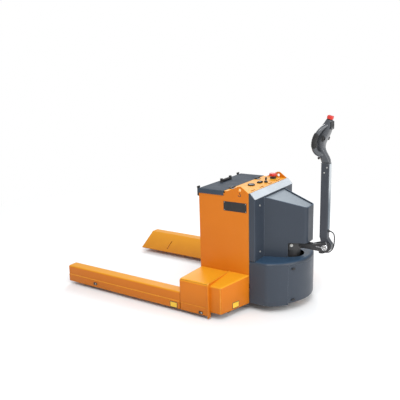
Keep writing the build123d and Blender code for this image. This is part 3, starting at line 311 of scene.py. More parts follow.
lidLook = {
    "light": (0.056, 0.070, 0.090), "dark": (0.045, 0.058, 0.076), "patch": 2.2,
    "rub": 0.06, "rubColour": (0.09, 0.10, 0.115),
    "edge": 0.005, "edgeColour": (0.22, 0.24, 0.26), "wearAndHighlight": 0.7,
    "rough": 0.55, "shine": 0.06, "coat": 0.0, "grain": 500, "grainDepth": 0.02,
}
blackLook = {
    "light": (0.022, 0.022, 0.023), "dark": (0.013, 0.013, 0.014), "patch": 14,
    "rub": 0.3, "rubColour": (0.07, 0.07, 0.07),
    "edge": 0.0012, "edgeColour": (0.12, 0.12, 0.12), "wearAndHighlight": 0.5,
    "rough": 0.42, "shine": 0.4, "coat": 0.0, "grain": 1400, "grainDepth": 0.3,
}
headLook = {
    "light": (0.070, 0.075, 0.083), "dark": (0.048, 0.052, 0.060), "patch": 9,
    "rub": 0.35, "rubColour": (0.19, 0.2, 0.21),
    "edge": 0.003, "edgeColour": (0.25, 0.26, 0.275), "wearAndHighlight": 0.4,
    "rough": 0.24, "shine": 0.4, "coat": 0.45, "grain": 1300, "grainDepth": 0.1,
}
batteryLook = {
    "light": (0.05, 0.052, 0.056), "dark": (0.032, 0.033, 0.036), "patch": 7,
    "rub": 0.4, "rubColour": (0.15, 0.15, 0.14),
    "edge": 0.002, "edgeColour": (0.15, 0.15, 0.155), "wearAndHighlight": 0.5,
    "rough": 0.45, "shine": 0.4, "coat": 0.0, "grain": 800, "grainDepth": 0.25,
}
redLook = {
    "light": (0.62, 0.035, 0.022), "dark": (0.5, 0.022, 0.015), "patch": 20,
    "rub": 0.25, "rubColour": (0.72, 0.16, 0.12),
    "edge": 0.002, "edgeColour": (0.78, 0.14, 0.1), "wearAndHighlight": 0.5,
    "rough": 0.28, "shine": 0.4, "coat": 0.35, "grain": 1600, "grainDepth": 0.12,
}
treadLook = {
    "light": (0.30, 0.115, 0.022), "dark": (0.19, 0.072, 0.016), "patch": 18,
    "rub": 0.7, "rubColour": (0.09, 0.055, 0.03),
    "edge": 0.002, "edgeColour": (0.36, 0.18, 0.06), "wearAndHighlight": 0.4,
    "rough": 0.46, "shine": 0.4, "coat": 0.0, "grain": 500, "grainDepth": 0.5,
}
rubberLook = {
    "light": (0.020, 0.020, 0.021), "dark": (0.011, 0.011, 0.011), "patch": 30,
    "rub": 0.45, "rubColour": (0.06, 0.058, 0.055),
    "edge": 0.0015, "edgeColour": (0.07, 0.07, 0.07), "wearAndHighlight": 0.5,
    "rough": 0.62, "shine": 0.4, "coat": 0.0, "grain": 1100, "grainDepth": 0.45,
}
zincLook = {
    "light": (0.66, 0.65, 0.61), "dark": (0.47, 0.47, 0.46),
    "patch": 40, "marks": 300, "way": (1, 1, 1), "rough": 0.34, "metal": 1.0, "markDepth": 0.12,
}
groundLook = {
    "light": (0.74, 0.74, 0.75), "dark": (0.6, 0.6, 0.62),
    "patch": 12, "marks": 260, "way": (1, 1, 0.03), "rough": 0.18, "metal": 1.0, "markDepth": 0.05,
}
castLook = {
    "light": (0.12, 0.12, 0.123), "dark": (0.07, 0.07, 0.072),
    "patch": 26, "marks": 420, "way": (1, 1, 1), "rough": 0.6, "metal": 0.55, "markDepth": 0.8,
}
bronzeLook = {
    "light": (0.62, 0.40, 0.17), "dark": (0.42, 0.25, 0.09),
    "patch": 60, "marks": 700, "way": (1, 1, 1), "rough": 0.42, "metal": 1.0, "markDepth": 0.4,
}
alloyLook = {
    "light": (0.70, 0.71, 0.72), "dark": (0.55, 0.56, 0.57),
    "patch": 30, "marks": 380, "way": (1, 0.1, 1), "rough": 0.4, "metal": 1.0, "markDepth": 0.2,
}

finishes = {
    "orange_paint": coatedSteel("orangePowderCoat", orangeLook),
    "black_paint": coatedSteel("blackChassisPaint", chassisLook),
    "tiller_paint": coatedSteel("greyTillerPaint", tillerLook),
    "charcoal_cover": mouldedPlastic("charcoalCoverMoulding", coverLook),
    "pale_panel": mouldedPlastic("paleTrayMoulding", panelLook),
    "lid_grey": mouldedPlastic("greyLidMoulding", lidLook),
    "black_plastic": mouldedPlastic("blackMoulding", blackLook),
    "tiller_grey": mouldedPlastic("greyHeadMoulding", headLook),
    "battery_case": mouldedPlastic("batteryCaseMoulding", batteryLook),
    "red_plastic": mouldedPlastic("redButtonMoulding", redLook),
    "polyurethane": mouldedPlastic("amberWheelTread", treadLook),
    "rubber": mouldedPlastic("blackRubber", rubberLook),
    "zinc_steel": bareMetal("zincPlatedSteel", zincLook),
    "ground_steel": bareMetal("groundBrightSteel", groundLook),
    "cast_iron": bareMetal("primedCastIron", castLook),
    "bronze": bareMetal("sinteredBronze", bronzeLook),
    "alloy": bareMetal("castAlloy", alloyLook),
}


keeperSetup = {
    "dots": [(-0.748, 0.060), (0.290, 0.046)], "dotRadius": 0.0055, "dotEdge": 0.001, "offset": 0.006,
    "light": (0.024, 0.023, 0.022), "dark": (0.010, 0.010, 0.011), "screw": (0.62, 0.61, 0.58), "rough": 0.38,
}


def keeperSteel(setup):    # blackened keeper plates with one bright screw each
    paint = Paint("blackenedKeeperSteel")
    tone = paint.mix(paint.spread(paint.noise(60, 5), *midNoise), setup["dark"], setup["light"])
    flat = paint.stretched((1, 0, 1))
    nearest = None
    for x, z in setup["dots"]:
        gap = paint.add("ShaderNodeVectorMath", operation="DISTANCE")
        paint.link(flat, gap.inputs[0])
        gap.inputs[1].default_value = (x + setup["offset"], 0, z)
        gap = gap.outputs["Value"]
        nearest = gap if nearest is None else paint.math("MINIMUM", nearest, gap)
    dot = paint.spread(nearest, setup["dotRadius"], setup["dotRadius"] - setup["dotEdge"])
    paint.set(Base_Color=paint.mix(dot, tone, setup["screw"]), Metallic=dot, Roughness=setup["rough"])
    return paint.material


stripSetup = {
    "pale": (0.42, 0.45, 0.47), "deep": (0.105, 0.135, 0.16), "from": 0.80, "to": 0.93, "blotch": 0.05,
    "rough": 0.34, "shine": 0.3, "edge": 0.001,
}


def stripFilm(setup):    # pale at the top, blue grey from the middle down
    film = Paint("tubeStripFilm")
    blotch = film.spread(film.noise(14, 4), 0.2, 0.8, -setup["blotch"], setup["blotch"])
    fade = film.spread(film.math("ADD", film.height(), blotch), setup["from"], setup["to"])
    film.set(Base_Color=film.mix(fade, setup["deep"], setup["pale"]), Roughness=setup["rough"],
             Specular_IOR_Level=setup["shine"], Normal=film.softEdges(setup["edge"]))
    return film.material


ownFinishes = {"frame_pins": keeperSteel(keeperSetup), "tiller_rear_cover": stripFilm(stripSetup)}


def paintFrame():
    for name, node in nodes.items():
        for socket in node.material_slots:
            slotName = socket.material.name.split(".")[0]
            socket.material = ownFinishes.get(name, finishes[slotName])
    print("materials on", len(nodes), "frame pieces")


paintFrame()


# studio
studioSetup = {
    "floorSize": 90, "floorDrop": 0.0005, "paper": (0.93, 0.95), "paperRough": 0.9,
    "paleFrom": 1.9, "paleTo": 4.2, "sky": (0.95, 0.975, 1.0),
    "worldLevel": 0.66, "backdropLevel": 1.0,
    "keyPlace": (2.5, -3.9, 5.5), "keySize": 3.2, "keyPower": 235,
    "fillPlace": (5.4, -0.6, 2.4), "fillSize": 3.0, "fillPower": 125,
    "backPlace": (-2.6, 4.4, 4.6), "backSize": 3.2, "backPower": 150,
}


def makeStudio(setup):
    bpy.ops.object.select_all(action="DESELECT")
    bpy.ops.mesh.primitive_plane_add(size=setup["floorSize"], location=(0, 0, -setup["floorDrop"]))
    floor = bpy.context.object
    floor.name = "studioFloor"
    paper = Paint("palePaperFloor")
    dark, light = ((level, level, level) for level in setup["paper"])
    tone = paper.mix(paper.spread(paper.noise(0.6, 3), *midNoise), dark, light)
    paper.set(Base_Color=tone, Roughness=setup["paperRough"])
    distance = paper.add("ShaderNodeVectorMath", operation="LENGTH")    # paper fades into the white backdrop
    paper.link(paper.place, distance.inputs[0])
    away = paper.spread(distance.outputs["Value"], setup["paleFrom"], setup["paleTo"])
    glow = paper.add("ShaderNodeEmission")
    glow.inputs["Strength"].default_value = setup["backdropLevel"]
    blend = paper.add("ShaderNodeMixShader")
    paper.link(away, blend.inputs["Fac"])
    paper.link(paper.shader.outputs["BSDF"], blend.inputs[1])
    paper.link(glow.outputs["Emission"], blend.inputs[2])
    paper.link(blend.outputs["Shader"], paper.tree.nodes["Material Output"].inputs["Surface"])
    floor.data.materials.append(paper.material)
    world = bpy.data.worlds.new("studioSky")
    bpy.context.scene.world = world
    world.use_nodes = True
    tree = world.node_tree
    sky = tree.nodes["Background"]
    sky.inputs["Color"].default_value = (*setup["sky"], 1)
    sky.inputs["Strength"].default_value = setup["worldLevel"]
    backdrop = tree.nodes.new("ShaderNodeBackground")
    backdrop.inputs["Color"].default_value = (1, 1, 1, 1)
    backdrop.inputs["Strength"].default_value = setup["backdropLevel"]
    rays = tree.nodes.new("ShaderNodeLightPath")
    join = tree.nodes.new("ShaderNodeMixShader")
    tree.links.new(rays.outputs["Is Camera Ray"], join.inputs["Fac"])
    tree.links.new(sky.outputs["Background"], join.inputs[1])
    tree.links.new(backdrop.outputs["Background"], join.inputs[2])
    tree.links.new(join.outputs["Shader"], tree.nodes["World Output"].inputs["Surface"])
    target = (cadLow + cadHigh) / 2
    for light in ("key", "fill", "back"):
        place = Vector(setup[light + "Place"])
        bpy.ops.object.light_add(type="AREA", location=place)
        lamp = bpy.context.object
        lamp.name = light + "SoftBox"
        lamp.data.size = setup[light + "Size"]
        lamp.data.energy = setup[light + "Power"]
        lamp.rotation_euler = (target - place).to_track_quat("-Z", "Y").to_euler()
    bpy.context.scene.view_settings.view_transform = "Standard"
    print("studio ready")


makeStudio(studioSetup)


# cable from the tiller tube, round the pivot, to the gland on the yoke
cableSetup = {
    "radius": 0.004,
    "length": 0.245,
    "route": [(0.998, 0, 0.596), (1.024, 0, 0.596), (1.045, 0, 0.572), (1.045, 0, 0.520),
              (1.039, 0, 0.474), (1.015, 0, 0.440), (0.989, 0, 0.431), (0.965, 0, 0.431)],
}


def makeCable(setup):
    curve = bpy.data.curves.new("controlCable", "CURVE")
    curve.dimensions = "3D"
    spline = curve.splines.new("NURBS")
    spline.points.add(len(setup["route"]) - 1)
    for point, place in zip(spline.points, setup["route"]):
        point.co = (*place, 1)
    spline.order_u = 3
    spline.use_endpoint_u = True
    spline.resolution_u = 12
    line = bpy.data.objects.new("cableLine", curve)
    bpy.context.scene.collection.objects.link(line)
    middle = [tuple(vertex.co) for vertex in bpy.data.meshes.new_from_object(line).vertices]
    curve.bevel_depth = setup["radius"]
    curve.bevel_resolution = 5
    curve.use_fill_caps = True
    cable = bpy.data.objects.new("controlCable", bpy.data.meshes.new_from_object(line))
    bpy.context.scene.collection.objects.link(cable)
    bpy.data.objects.remove(line)
    cable.data.materials.clear()
    cable.data.materials.append(finishes["rubber"])
    for face in cable.data.polygons:
        face.use_smooth = True
    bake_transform(cable)
    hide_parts("tiller_cable")
    print("control cable made")


makeCable(cableSetup)


# modelling steps used by every piece
def clearSelection():
    if bpy.context.object and bpy.context.object.mode != "OBJECT":
        bpy.ops.object.mode_set(mode="OBJECT")
    bpy.ops.object.select_all(action="DESELECT")


def choose(piece):
    clearSelection()
    piece.select_set(True)
    bpy.context.view_layer.objects.active = piece


def settle():    # the chosen piece's place, turn and scale go into its mesh
    bpy.ops.object.transform_apply(location=True, rotation=True, scale=True)


def startBox(name, low, high):
    clearSelection()
    low, high = Vector(low), Vector(high)
    bpy.ops.mesh.primitive_cube_add(size=1, location=(low + high) / 2)
    piece = bpy.context.object
    piece.name = name
    piece.scale = high - low
    settle()
    return piece


def pick(piece, test, kind="FACE"):    # selects faces or edges in edit mode by middle and direction
    choose(piece)
    bpy.ops.object.mode_set(mode="EDIT")
    bpy.ops.mesh.select_mode(type=kind)
    bpy.ops.mesh.select_all(action="DESELECT")
    bpy.ops.object.mode_set(mode="OBJECT")
    corners = piece.data.vertices
    if kind == "FACE":
        for face in piece.data.polygons:
            face.select = bool(test(face.center, face.normal))
    else:
        for edge in piece.data.edges:
            first, second = (corners[number].co for number in edge.vertices)
            edge.select = bool(test((first + second) / 2, (second - first).normalized()))
    bpy.ops.object.mode_set(mode="EDIT")


def bevelEdges(piece, width, steps=3, test=lambda middle, way: True):
    pick(piece, test, "EDGE")
    bpy.ops.mesh.bevel(offset=width, segments=steps, affect="EDGES", clamp_overlap=True)
    bpy.ops.object.mode_set(mode="OBJECT")


def insetFace(piece, test, margin, push):    # a panel line, a recess or a raised pad
    pick(piece, test)
    bpy.ops.mesh.inset(thickness=margin, depth=0)
    bpy.ops.mesh.inset(thickness=0.0004, depth=push)
    bpy.ops.object.mode_set(mode="OBJECT")


def closeUp(piece):    # merged corners and outward faces
    choose(piece)
    bpy.ops.object.mode_set(mode="EDIT")
    bpy.ops.mesh.select_all(action="SELECT")
    bpy.ops.mesh.remove_doubles(threshold=0.00001)
    bpy.ops.mesh.normals_make_consistent(inside=False)
    bpy.ops.object.mode_set(mode="OBJECT")


def smoothOut(piece, levels=2):
    choose(piece)
    rounding = piece.modifiers.new("rounding", "SUBSURF")
    rounding.levels = rounding.render_levels = levels
    bpy.ops.object.modifier_apply(modifier=rounding.name)


def stand(piece, place, toward=(0, 0, 1)):    # from the origin to its place
    choose(piece)
    piece.rotation_mode = "QUATERNION"
    piece.rotation_quaternion = Vector(toward).to_track_quat("Z", "Y")
    piece.location = place
    settle()
    return piece


def startDisc(name, sides, radius, place):
    clearSelection()
    bpy.ops.mesh.primitive_circle_add(vertices=sides, radius=radius, fill_type="NGON", location=place)
    piece = bpy.context.object
    piece.name = name
    settle()
    return piece


def layAt(piece, place, degrees):    # turned about Z, then moved
    choose(piece)
    piece.rotation_euler = (0, 0, math.radians(degrees))
    piece.location = place
    settle()
    return piece


# rings are (height, radius), each extruded from the last
def turned(name, rings, place, toward=(0, 0, 1), sides=32):
    height, radius = rings[0]
    piece = startDisc(name, sides, radius, (0, 0, height))
    bpy.ops.object.mode_set(mode="EDIT")
    bpy.ops.mesh.select_mode(type="FACE")
    bpy.ops.mesh.select_all(action="SELECT")
    for nextHeight, nextRadius in rings[1:]:
        bpy.ops.mesh.extrude_region_move(TRANSFORM_OT_translate={"value": (0, 0, nextHeight - height)})
        bpy.ops.transform.resize(value=(nextRadius / radius, nextRadius / radius, 1),
                                 center_override=(0, 0, nextHeight))
        height, radius = nextHeight, nextRadius
    closeUp(piece)
    return stand(piece, place, toward)


def pipe(name, route, radius, order=4, sides=5, rounding=12):    # a bent bar on a smooth line
    clearSelection()
    bpy.ops.curve.primitive_nurbs_path_add(location=(0, 0, 0))
    bar = bpy.context.object
    bar.name = name
    bar.data.splines.clear()
    spline = bar.data.splines.new("NURBS")
    spline.points.add(len(route) - 1)
    for point, place in zip(spline.points, route):
        point.co = (*place[:3], 1)
        point.radius = place[3] if len(place) > 3 else 1
    spline.order_u = order
    spline.use_endpoint_u = True
    spline.resolution_u = rounding
    bar.data.bevel_depth = radius
    bar.data.bevel_resolution = sides
    bar.data.use_fill_caps = True
    bpy.ops.object.convert(target="MESH")
    bar = bpy.context.object
    closeUp(bar)
    return bar


def copyOf(piece, name, mirrorY=True):
    other = piece.copy()
    other.data = piece.data.copy()
    other.name = name
    bpy.context.scene.collection.objects.link(other)
    choose(other)
    if mirrorY:
        other.scale = (1, -1, 1)
        settle()
        closeUp(other)
    return other


def joined(name, pieces):
    clearSelection()
    for piece in pieces:
        piece.select_set(True)
    bpy.context.view_layer.objects.active = pieces[0]
    if len(pieces) > 1:
        bpy.ops.object.join()
    whole = bpy.context.object
    whole.name = name
    return whole


def finishPiece(piece, body, slotName, stands=(), finish=None, angle=35):
    choose(piece)
    bpy.ops.object.shade_smooth_by_angle(angle=math.radians(angle))
    piece.data.materials.clear()
    piece.data.materials.append(finish or finishes[slotName])
    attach(piece, body)
    if stands:
        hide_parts(*stands)
    return piece


# tiller head, a tall moulding with a dished top, grown upwards from the tube's end
headSetup = {
    # height, front, rear, half width
    "sections": [
        (1.0900, 0.9385, 0.9985, 0.0275), (1.1020, 0.9375, 0.9985, 0.0275), (1.1280, 0.9255, 0.9905, 0.0275),
        (1.1600, 0.9060, 0.9690, 0.0285), (1.1860, 0.8940, 0.9545, 0.0330), (1.2160, 0.8895, 0.9520, 0.0420),
        (1.2500, 0.8920, 0.9660, 0.0490), (1.2860, 0.9010, 0.9850, 0.0500), (1.3220, 0.9180, 0.9985, 0.0440),
        (1.3560, 0.9380, 1.0040, 0.0350), (1.3775, 0.9545, 1.0055, 0.0285), (1.3905, 0.9630, 1.0065, 0.0240),
        (1.3925, 0.9640, 1.0065, 0.0232),
    ],
    "corner": 0.012, "lean": -7.5, "leanAbove": 1.38,    # the last two rings lean, degrees each
    "rim": 0.004, "rimEdge": 0.0006, "dish": -0.0012,
}


def makeHead(setup):
    clearSelection()
    sections = setup["sections"]
    height, front, rear, half = sections[0]
    bpy.ops.mesh.primitive_plane_add(size=1, location=((front + rear) / 2, 0, height))
    head = bpy.context.object
    head.name = "tillerHeadMoulding"
    head.scale = (rear - front, 2 * half, 1)
    settle()
    bpy.ops.object.mode_set(mode="EDIT")
    bpy.ops.mesh.select_mode(type="VERT")
    bpy.ops.mesh.select_all(action="SELECT")
    bpy.ops.mesh.bevel(offset=setup["corner"], segments=2, affect="VERTICES")
    bpy.ops.mesh.select_mode(type="FACE")
    bpy.ops.mesh.select_all(action="SELECT")
    for nextHeight, nextFront, nextRear, nextHalf in sections[1:]:
        shift = (nextFront + nextRear - front - rear) / 2
        bpy.ops.mesh.extrude_region_move(TRANSFORM_OT_translate={"value": (shift, 0, nextHeight - height)})
        bpy.ops.transform.resize(value=((nextRear - nextFront) / (rear - front), nextHalf / half, 1),
                                 center_override=((nextFront + nextRear) / 2, 0, nextHeight))
        height, front, rear, half = nextHeight, nextFront, nextRear, nextHalf
        if height > setup["leanAbove"]:
            bpy.ops.transform.rotate(value=math.radians(setup["lean"]), orient_axis="Y",
                                     center_override=((front + rear) / 2, 0, height))
    bpy.ops.mesh.inset(thickness=setup["rim"], depth=0)
    bpy.ops.mesh.inset(thickness=setup["rimEdge"], depth=setup["dish"])
    bpy.ops.object.mode_set(mode="OBJECT")
    closeUp(head)
    smoothOut(head, 2)
    return finishPiece(head, "tiller", "tiller_grey", ["tiller_head"])


makeHead(headSetup)

gripSetup = {
    "radius": 0.0155,
    # place and share of the radius
    "route": [(0.975, 0.024, 1.356, 1.00), (0.962, 0.048, 1.350, 0.95), (0.944, 0.074, 1.326),
              (0.921, 0.091, 1.285), (0.909, 0.093, 1.238), (0.906, 0.084, 1.194, 1.10),
              (0.920, 0.056, 1.160, 1.20), (0.940, 0.020, 1.148, 1.30)],
    "sleeve": [(0.929, 0.0860, 1.303, 0.9), (0.924, 0.0885, 1.292, 1.0), (0.914, 0.0905, 1.263, 1.06),
               (0.9095, 0.0905, 1.236, 1.06), (0.9080, 0.0870, 1.212, 1.0), (0.9080, 0.0850, 1.2035, 0.9)],
    "sleeveRadius": 0.0178,
    "ribs": 7, "rib": [(-0.0014, 0.0172), (-0.0010, 0.0196), (0.0010, 0.0196), (0.0014, 0.0172)],
}


def makeGrips(setup):
    hoop = pipe("gripHoop", setup["route"], setup["radius"])
    sleeve = pipe("gripSleeve", setup["sleeve"], setup["sleeveRadius"])
    line = setup["sleeve"][1:-1]
    ribs = []
    for number in range(setup["ribs"]):
        share = (number + 0.5) / setup["ribs"] * (len(line) - 1)
        start = min(int(share), len(line) - 2)
        low, high = Vector(line[start][:3]), Vector(line[start + 1][:3])
        ribs.append(turned("rib", setup["rib"], low.lerp(high, share - start), high - low, 28))
    sleeve = joined("gripSleeve", [sleeve] + ribs)
    for side, name in ((1, "right"), (-1, "left")):
        ownHoop = copyOf(hoop, "gripHoop_" + name, mirrorY=side < 0)
        ownSleeve = copyOf(sleeve, "gripSleeve_" + name, mirrorY=side < 0)
        finishPiece(ownHoop, "tiller", "tiller_grey", angle=60)
        finishPiece(ownSleeve, "tiller", "rubber", angle=50)
    bpy.data.objects.remove(hoop)
    bpy.data.objects.remove(sleeve)


makeGrips(gripSetup)

bellySetup = {
    "place": (0.989, 0, 1.407), "toward": (0.259, 0, 0.966),
    "size": (0.037, 0.041, 0.0225), "rise": 0.0028,
    "corner": 0.009, "crown": 0.005, "dishMargin": 0.006, "dish": -0.0014,
    "gaiterSize": (0.031, 0.035, 0.0068), "gaiterCorner": 0.008, "gaiterDrop": 0.0122, "pressed": 0.15,
}


def makeBellyButton(setup):
    long, wide, tall = (number / 2 for number in setup["size"])
    rise = setup["rise"]
    cap = startBox("bellyButtonCap", (-long, -wide, rise - tall), (long, wide, rise + tall))
    bevelEdges(cap, setup["corner"], 4, lambda middle, way: abs(way.z) > 0.9)
    bevelEdges(cap, setup["crown"], 4, lambda middle, way: middle.z > rise + tall - 0.0005)
    insetFace(cap, lambda middle, normal: normal.z > 0.99, setup["dishMargin"], setup["dish"])
    stand(cap, setup["place"], setup["toward"])
    finishPiece(cap, "belly_button", "red_plastic", ["belly_button"])
    long, wide, tall = (number / 2 for number in setup["gaiterSize"])
    gaiter = startBox("bellyButtonGaiter", (-long, -wide, -tall), (long, wide, tall))
    bevelEdges(gaiter, setup["gaiterCorner"], 3, lambda middle, way: abs(way.z) > 0.9)
    stand(gaiter, Vector(setup["place"]) - setup["gaiterDrop"] * Vector(setup["toward"]), setup["toward"])
    finishPiece(gaiter, "tiller", "rubber")
    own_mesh(gaiter)


makeBellyButton(bellySetup)

keypadSetup = {
    "low": (1.0030, -0.030, 1.328), "high": (1.0068, 0.030, 1.382),
    "corner": 0.008, "edge": 0.0006, "margin": 0.003, "sunk": -0.0004,
    "lampHeight": 1.3345, "lamps": (-0.015, -0.005, 0.005, 0.015), "lampSeat": 0.0002,
    "lampRings": [(0, 0.0024), (0.0008, 0.0024), (0.0012, 0.0016)],
    "buttonRings": [(-0.004, 0.0085), (0.0035, 0.0086), (0.0048, 0.0078), (0.0050, 0.0066), (0.0040, 0.0052),
                    (0.0038, 0.0010)],
    "buttons": {"lift_button": (1.004, -0.020, 1.352), "lower_button": (1.004, 0.020, 1.352)},
    "toward": (0.987, 0, -0.16),
    "horn": (0.925, 0, 1.128), "hornToward": (-0.86, 0, -0.51),
    "hornRings": [(-0.003, 0.0048), (0.0128, 0.0048), (0.0130, 0.0085), (0.0185, 0.0088), (0.0205, 0.0076),
                  (0.0209, 0.0050), (0.0206, 0.0010)],
}


def makeKeypad(setup):
    pad = startBox("headKeypad", setup["low"], setup["high"])
    bevelEdges(pad, setup["corner"], 4, lambda middle, way: abs(way.x) > 0.9)
    bevelEdges(pad, setup["edge"], 2, lambda middle, way: middle.x > setup["high"][0] - 0.0001)
    insetFace(pad, lambda middle, normal: normal.x > 0.9, setup["margin"], setup["sunk"])
    lampX = setup["high"][0] - setup["lampSeat"]
    lamps = [turned("lamp", setup["lampRings"], (lampX, y, setup["lampHeight"]), (1, 0, 0), 16)
             for y in setup["lamps"]]
    finishPiece(pad, "tiller", "black_plastic")
    finishPiece(joined("keypadLamps", lamps), "tiller", "alloy")
    for name, place in setup["buttons"].items():
        button = turned(name + "Cap", setup["buttonRings"], place, setup["toward"])
        finishPiece(button, name, "black_plastic", [name])
    horn = turned("hornButtonCap", setup["hornRings"], setup["horn"], setup["hornToward"])
    finishPiece(horn, "horn_button", "black_plastic", ["horn_button"])


makeKeypad(keypadSetup)

throttleSetup = {
    "centre": (0.959, 1.266), "shaft": 0.0075, "shaftHalf": 0.050,
    "near": 0.0475, "far": 0.0620, "half": 0.008, "tall": 0.021, "taper": (0.75, 1, 0.82),
    "margin": 0.0035, "sunk": -0.0016, "edge": 0.0022,
    "ridges": (-2, -1, 0, 1, 2), "ridgePitch": 0.0065, "ridgeHalf": 0.0011, "ridgeProud": 0.0008,
    "boss": [(0, 0.0150), (0.0012, 0.0150), (0.0020, 0.0140), (0.0020, 0.0095), (0.0008, 0.0088)],
    "bossFrom": 0.0440,
}


def makeThrottle(setup):
    x, z = setup["centre"]
    half, tall = setup["half"], setup["tall"]
    paddle = startBox("paddle", (x - half, setup["near"], z - tall), (x + half, setup["far"], z + tall))
    pick(paddle, lambda middle, normal: normal.y > 0.9)
    bpy.ops.transform.resize(value=setup["taper"], center_override=(x, setup["far"], z))
    bpy.ops.mesh.inset(thickness=setup["margin"], depth=setup["sunk"])
    bpy.ops.object.mode_set(mode="OBJECT")
    bevelEdges(paddle, setup["edge"], 3)
    ridges = []
    wide, thin = half + setup["ridgeProud"], setup["ridgeHalf"]
    for step in setup["ridges"]:
        middle = z + step * setup["ridgePitch"]
        ridge = startBox("ridge", (x - wide, setup["near"] + 0.002, middle - thin),
                         (x + wide, setup["far"] - 0.004, middle + thin))
        bevelEdges(ridge, 0.0005, 1)
        ridges.append(ridge)
    paddle = joined("paddle", [paddle] + ridges)
    other = copyOf(paddle, "paddleLeft")
    shaft = turned("shaft", [(-setup["shaftHalf"], 0.006), (-setup["shaftHalf"] + 0.001, setup["shaft"]),
                             (setup["shaftHalf"] - 0.001, setup["shaft"]), (setup["shaftHalf"], 0.006)],
                   (x, 0, z), (0, 1, 0))
    finishPiece(joined("throttleWings", [paddle, other, shaft]), "throttle", "black_plastic", ["throttle"])
    bosses = [turned("boss", setup["boss"], (x, side * setup["bossFrom"], z), (0, side, 0))
              for side in leftRight]
    finishPiece(joined("throttleBosses", bosses), "tiller", "black_plastic")


makeThrottle(throttleSetup)
print("tiller head made")

tubeTrimSetup = {
    "screws": [(0.984, 1.062), (0.965, 1.024)], "side": 0.026,
    "screwRings": [(-0.001, 0.0055), (0.0008, 0.0055), (0.0018, 0.0046), (0.0020, 0.0028), (0.0010, 0.0026)],
    "collarLow": (0.9365, -0.0285, 1.0865), "collarHigh": (0.9995, 0.0285, 1.0915),
    "collarCorner": 0.009, "collarEdge": 0.0015,
    "glandRings": [(-0.002, 0.0095), (0.004, 0.0095), (0.0045, 0.0080), (0.009, 0.0078), (0.012, 0.0056)],
    "glands": {"tube": ("tiller", (0.9975, 0, 0.596)), "yoke": ("drive_unit", (0.965, 0, 0.431))},
}


def makeTubeTrim(setup):
    screws = [turned("screw", setup["screwRings"], (x, side * setup["side"], z), (0, side, 0), 20)
              for side in leftRight for x, z in setup["screws"]]
    finishPiece(joined("tillerSideScrews", screws), "tiller", "zinc_steel")
    collar = startBox("tillerCollar", setup["collarLow"], setup["collarHigh"])
    bevelEdges(collar, setup["collarCorner"], 4, lambda middle, way: abs(way.z) > 0.9)
    bevelEdges(collar, setup["collarEdge"], 2, lambda middle, way: abs(way.z) < 0.1)
    finishPiece(collar, "tiller", "tiller_grey")
    for name, (body, place) in setup["glands"].items():
        gland = turned(name + "CableGland", setup["glandRings"], place, (1, 0, 0), 24)
        finishPiece(gland, body, "black_plastic")


makeTubeTrim(tubeTrimSetup)

pivotSetup = {
    "centre": (0.989, 0.481), "outside": 0.036,
    "washer": [(0, 0.0175), (0.0022, 0.0175), (0.0026, 0.0168), (0.0026, 0.0112)],
    "nut": [(0.0026, 0.0135), (0.0030, 0.0150), (0.0110, 0.0150), (0.0120, 0.0135), (0.0120, 0.0095),
            (0.0105, 0.0090)],
    "springRadius": 0.0205, "springWire": 0.0021, "springTurns": 4, "springFrom": 0.0385,
    "springPitch": 0.0046, "turnSteps": 8, "upperLeg": (0.006, 0.044), "lowerLeg": (-0.062, 0.004),
}


def makePivot(setup):
    x, z = setup["centre"]
    fasteners = []
    for side in leftRight:
        place = (x, side * setup["outside"], z)
        fasteners += [turned("washer", setup["washer"], place, (0, side, 0)),
                      turned("nut", setup["nut"], place, (0, side, 0), 6)]
    finishPiece(joined("pivotNuts", fasteners), "drive_unit", "zinc_steel", angle=25)
    for side, name in ((1, "right"), (-1, "left")):
        route = []
        for step in range(setup["springTurns"] * setup["turnSteps"] + 1):
            turns = step / setup["turnSteps"]
            angle = 2 * math.pi * turns
            route.append((x + setup["springRadius"] * math.cos(angle),
                          side * (setup["springFrom"] + turns * setup["springPitch"]),
                          z + setup["springRadius"] * math.sin(angle)))
        (upX, upZ), (lowX, lowZ) = setup["upperLeg"], setup["lowerLeg"]
        route = [(x + upX, route[0][1], z + upZ)] + route + [(x + lowX, route[-1][1], z + lowZ)]
        coil = pipe("returnSpring_" + name, route, setup["springWire"], sides=3, rounding=3)
        finishPiece(coil, "drive_unit", "ground_steel", angle=60)


makePivot(pivotSetup)

yokeScrewSetup = {
    "axis": (0.701, 0), "ring": 0.098, "height": 0.4715, "angles": (60, 95, 130),
    "rings": [(-0.002, 0.0120), (0.0016, 0.0120), (0.0018, 0.0088), (0.0068, 0.0088), (0.0078, 0.0078),
              (0.0078, 0.0046), (0.0040, 0.0044)],
}


def makeYokeScrews(setup):    # bright cap screws on washers round the steering ring
    axisX, axisY = setup["axis"]
    screws = []
    for side in leftRight:
        for angle in setup["angles"]:
            wayX, wayY = math.cos(math.radians(angle)), side * math.sin(math.radians(angle))
            place = (axisX + setup["ring"] * wayX, axisY + setup["ring"] * wayY, setup["height"])
            screws.append(turned("screw", setup["rings"], place, (wayX, wayY, 0), 24))
    finishPiece(joined("yokeRingScrews", screws), "drive_unit", "zinc_steel")


makeYokeScrews(yokeScrewSetup)

handleSetup = {
    "x": 0.146, "half": 0.067, "foot": 0.890, "top": 0.9370, "rod": 0.0112, "bend": 0.018, "steps": 8,
    "flange": [(0, 0.0140), (0.0030, 0.0140), (0.0055, 0.0118), (0.0075, 0.0085)],
}


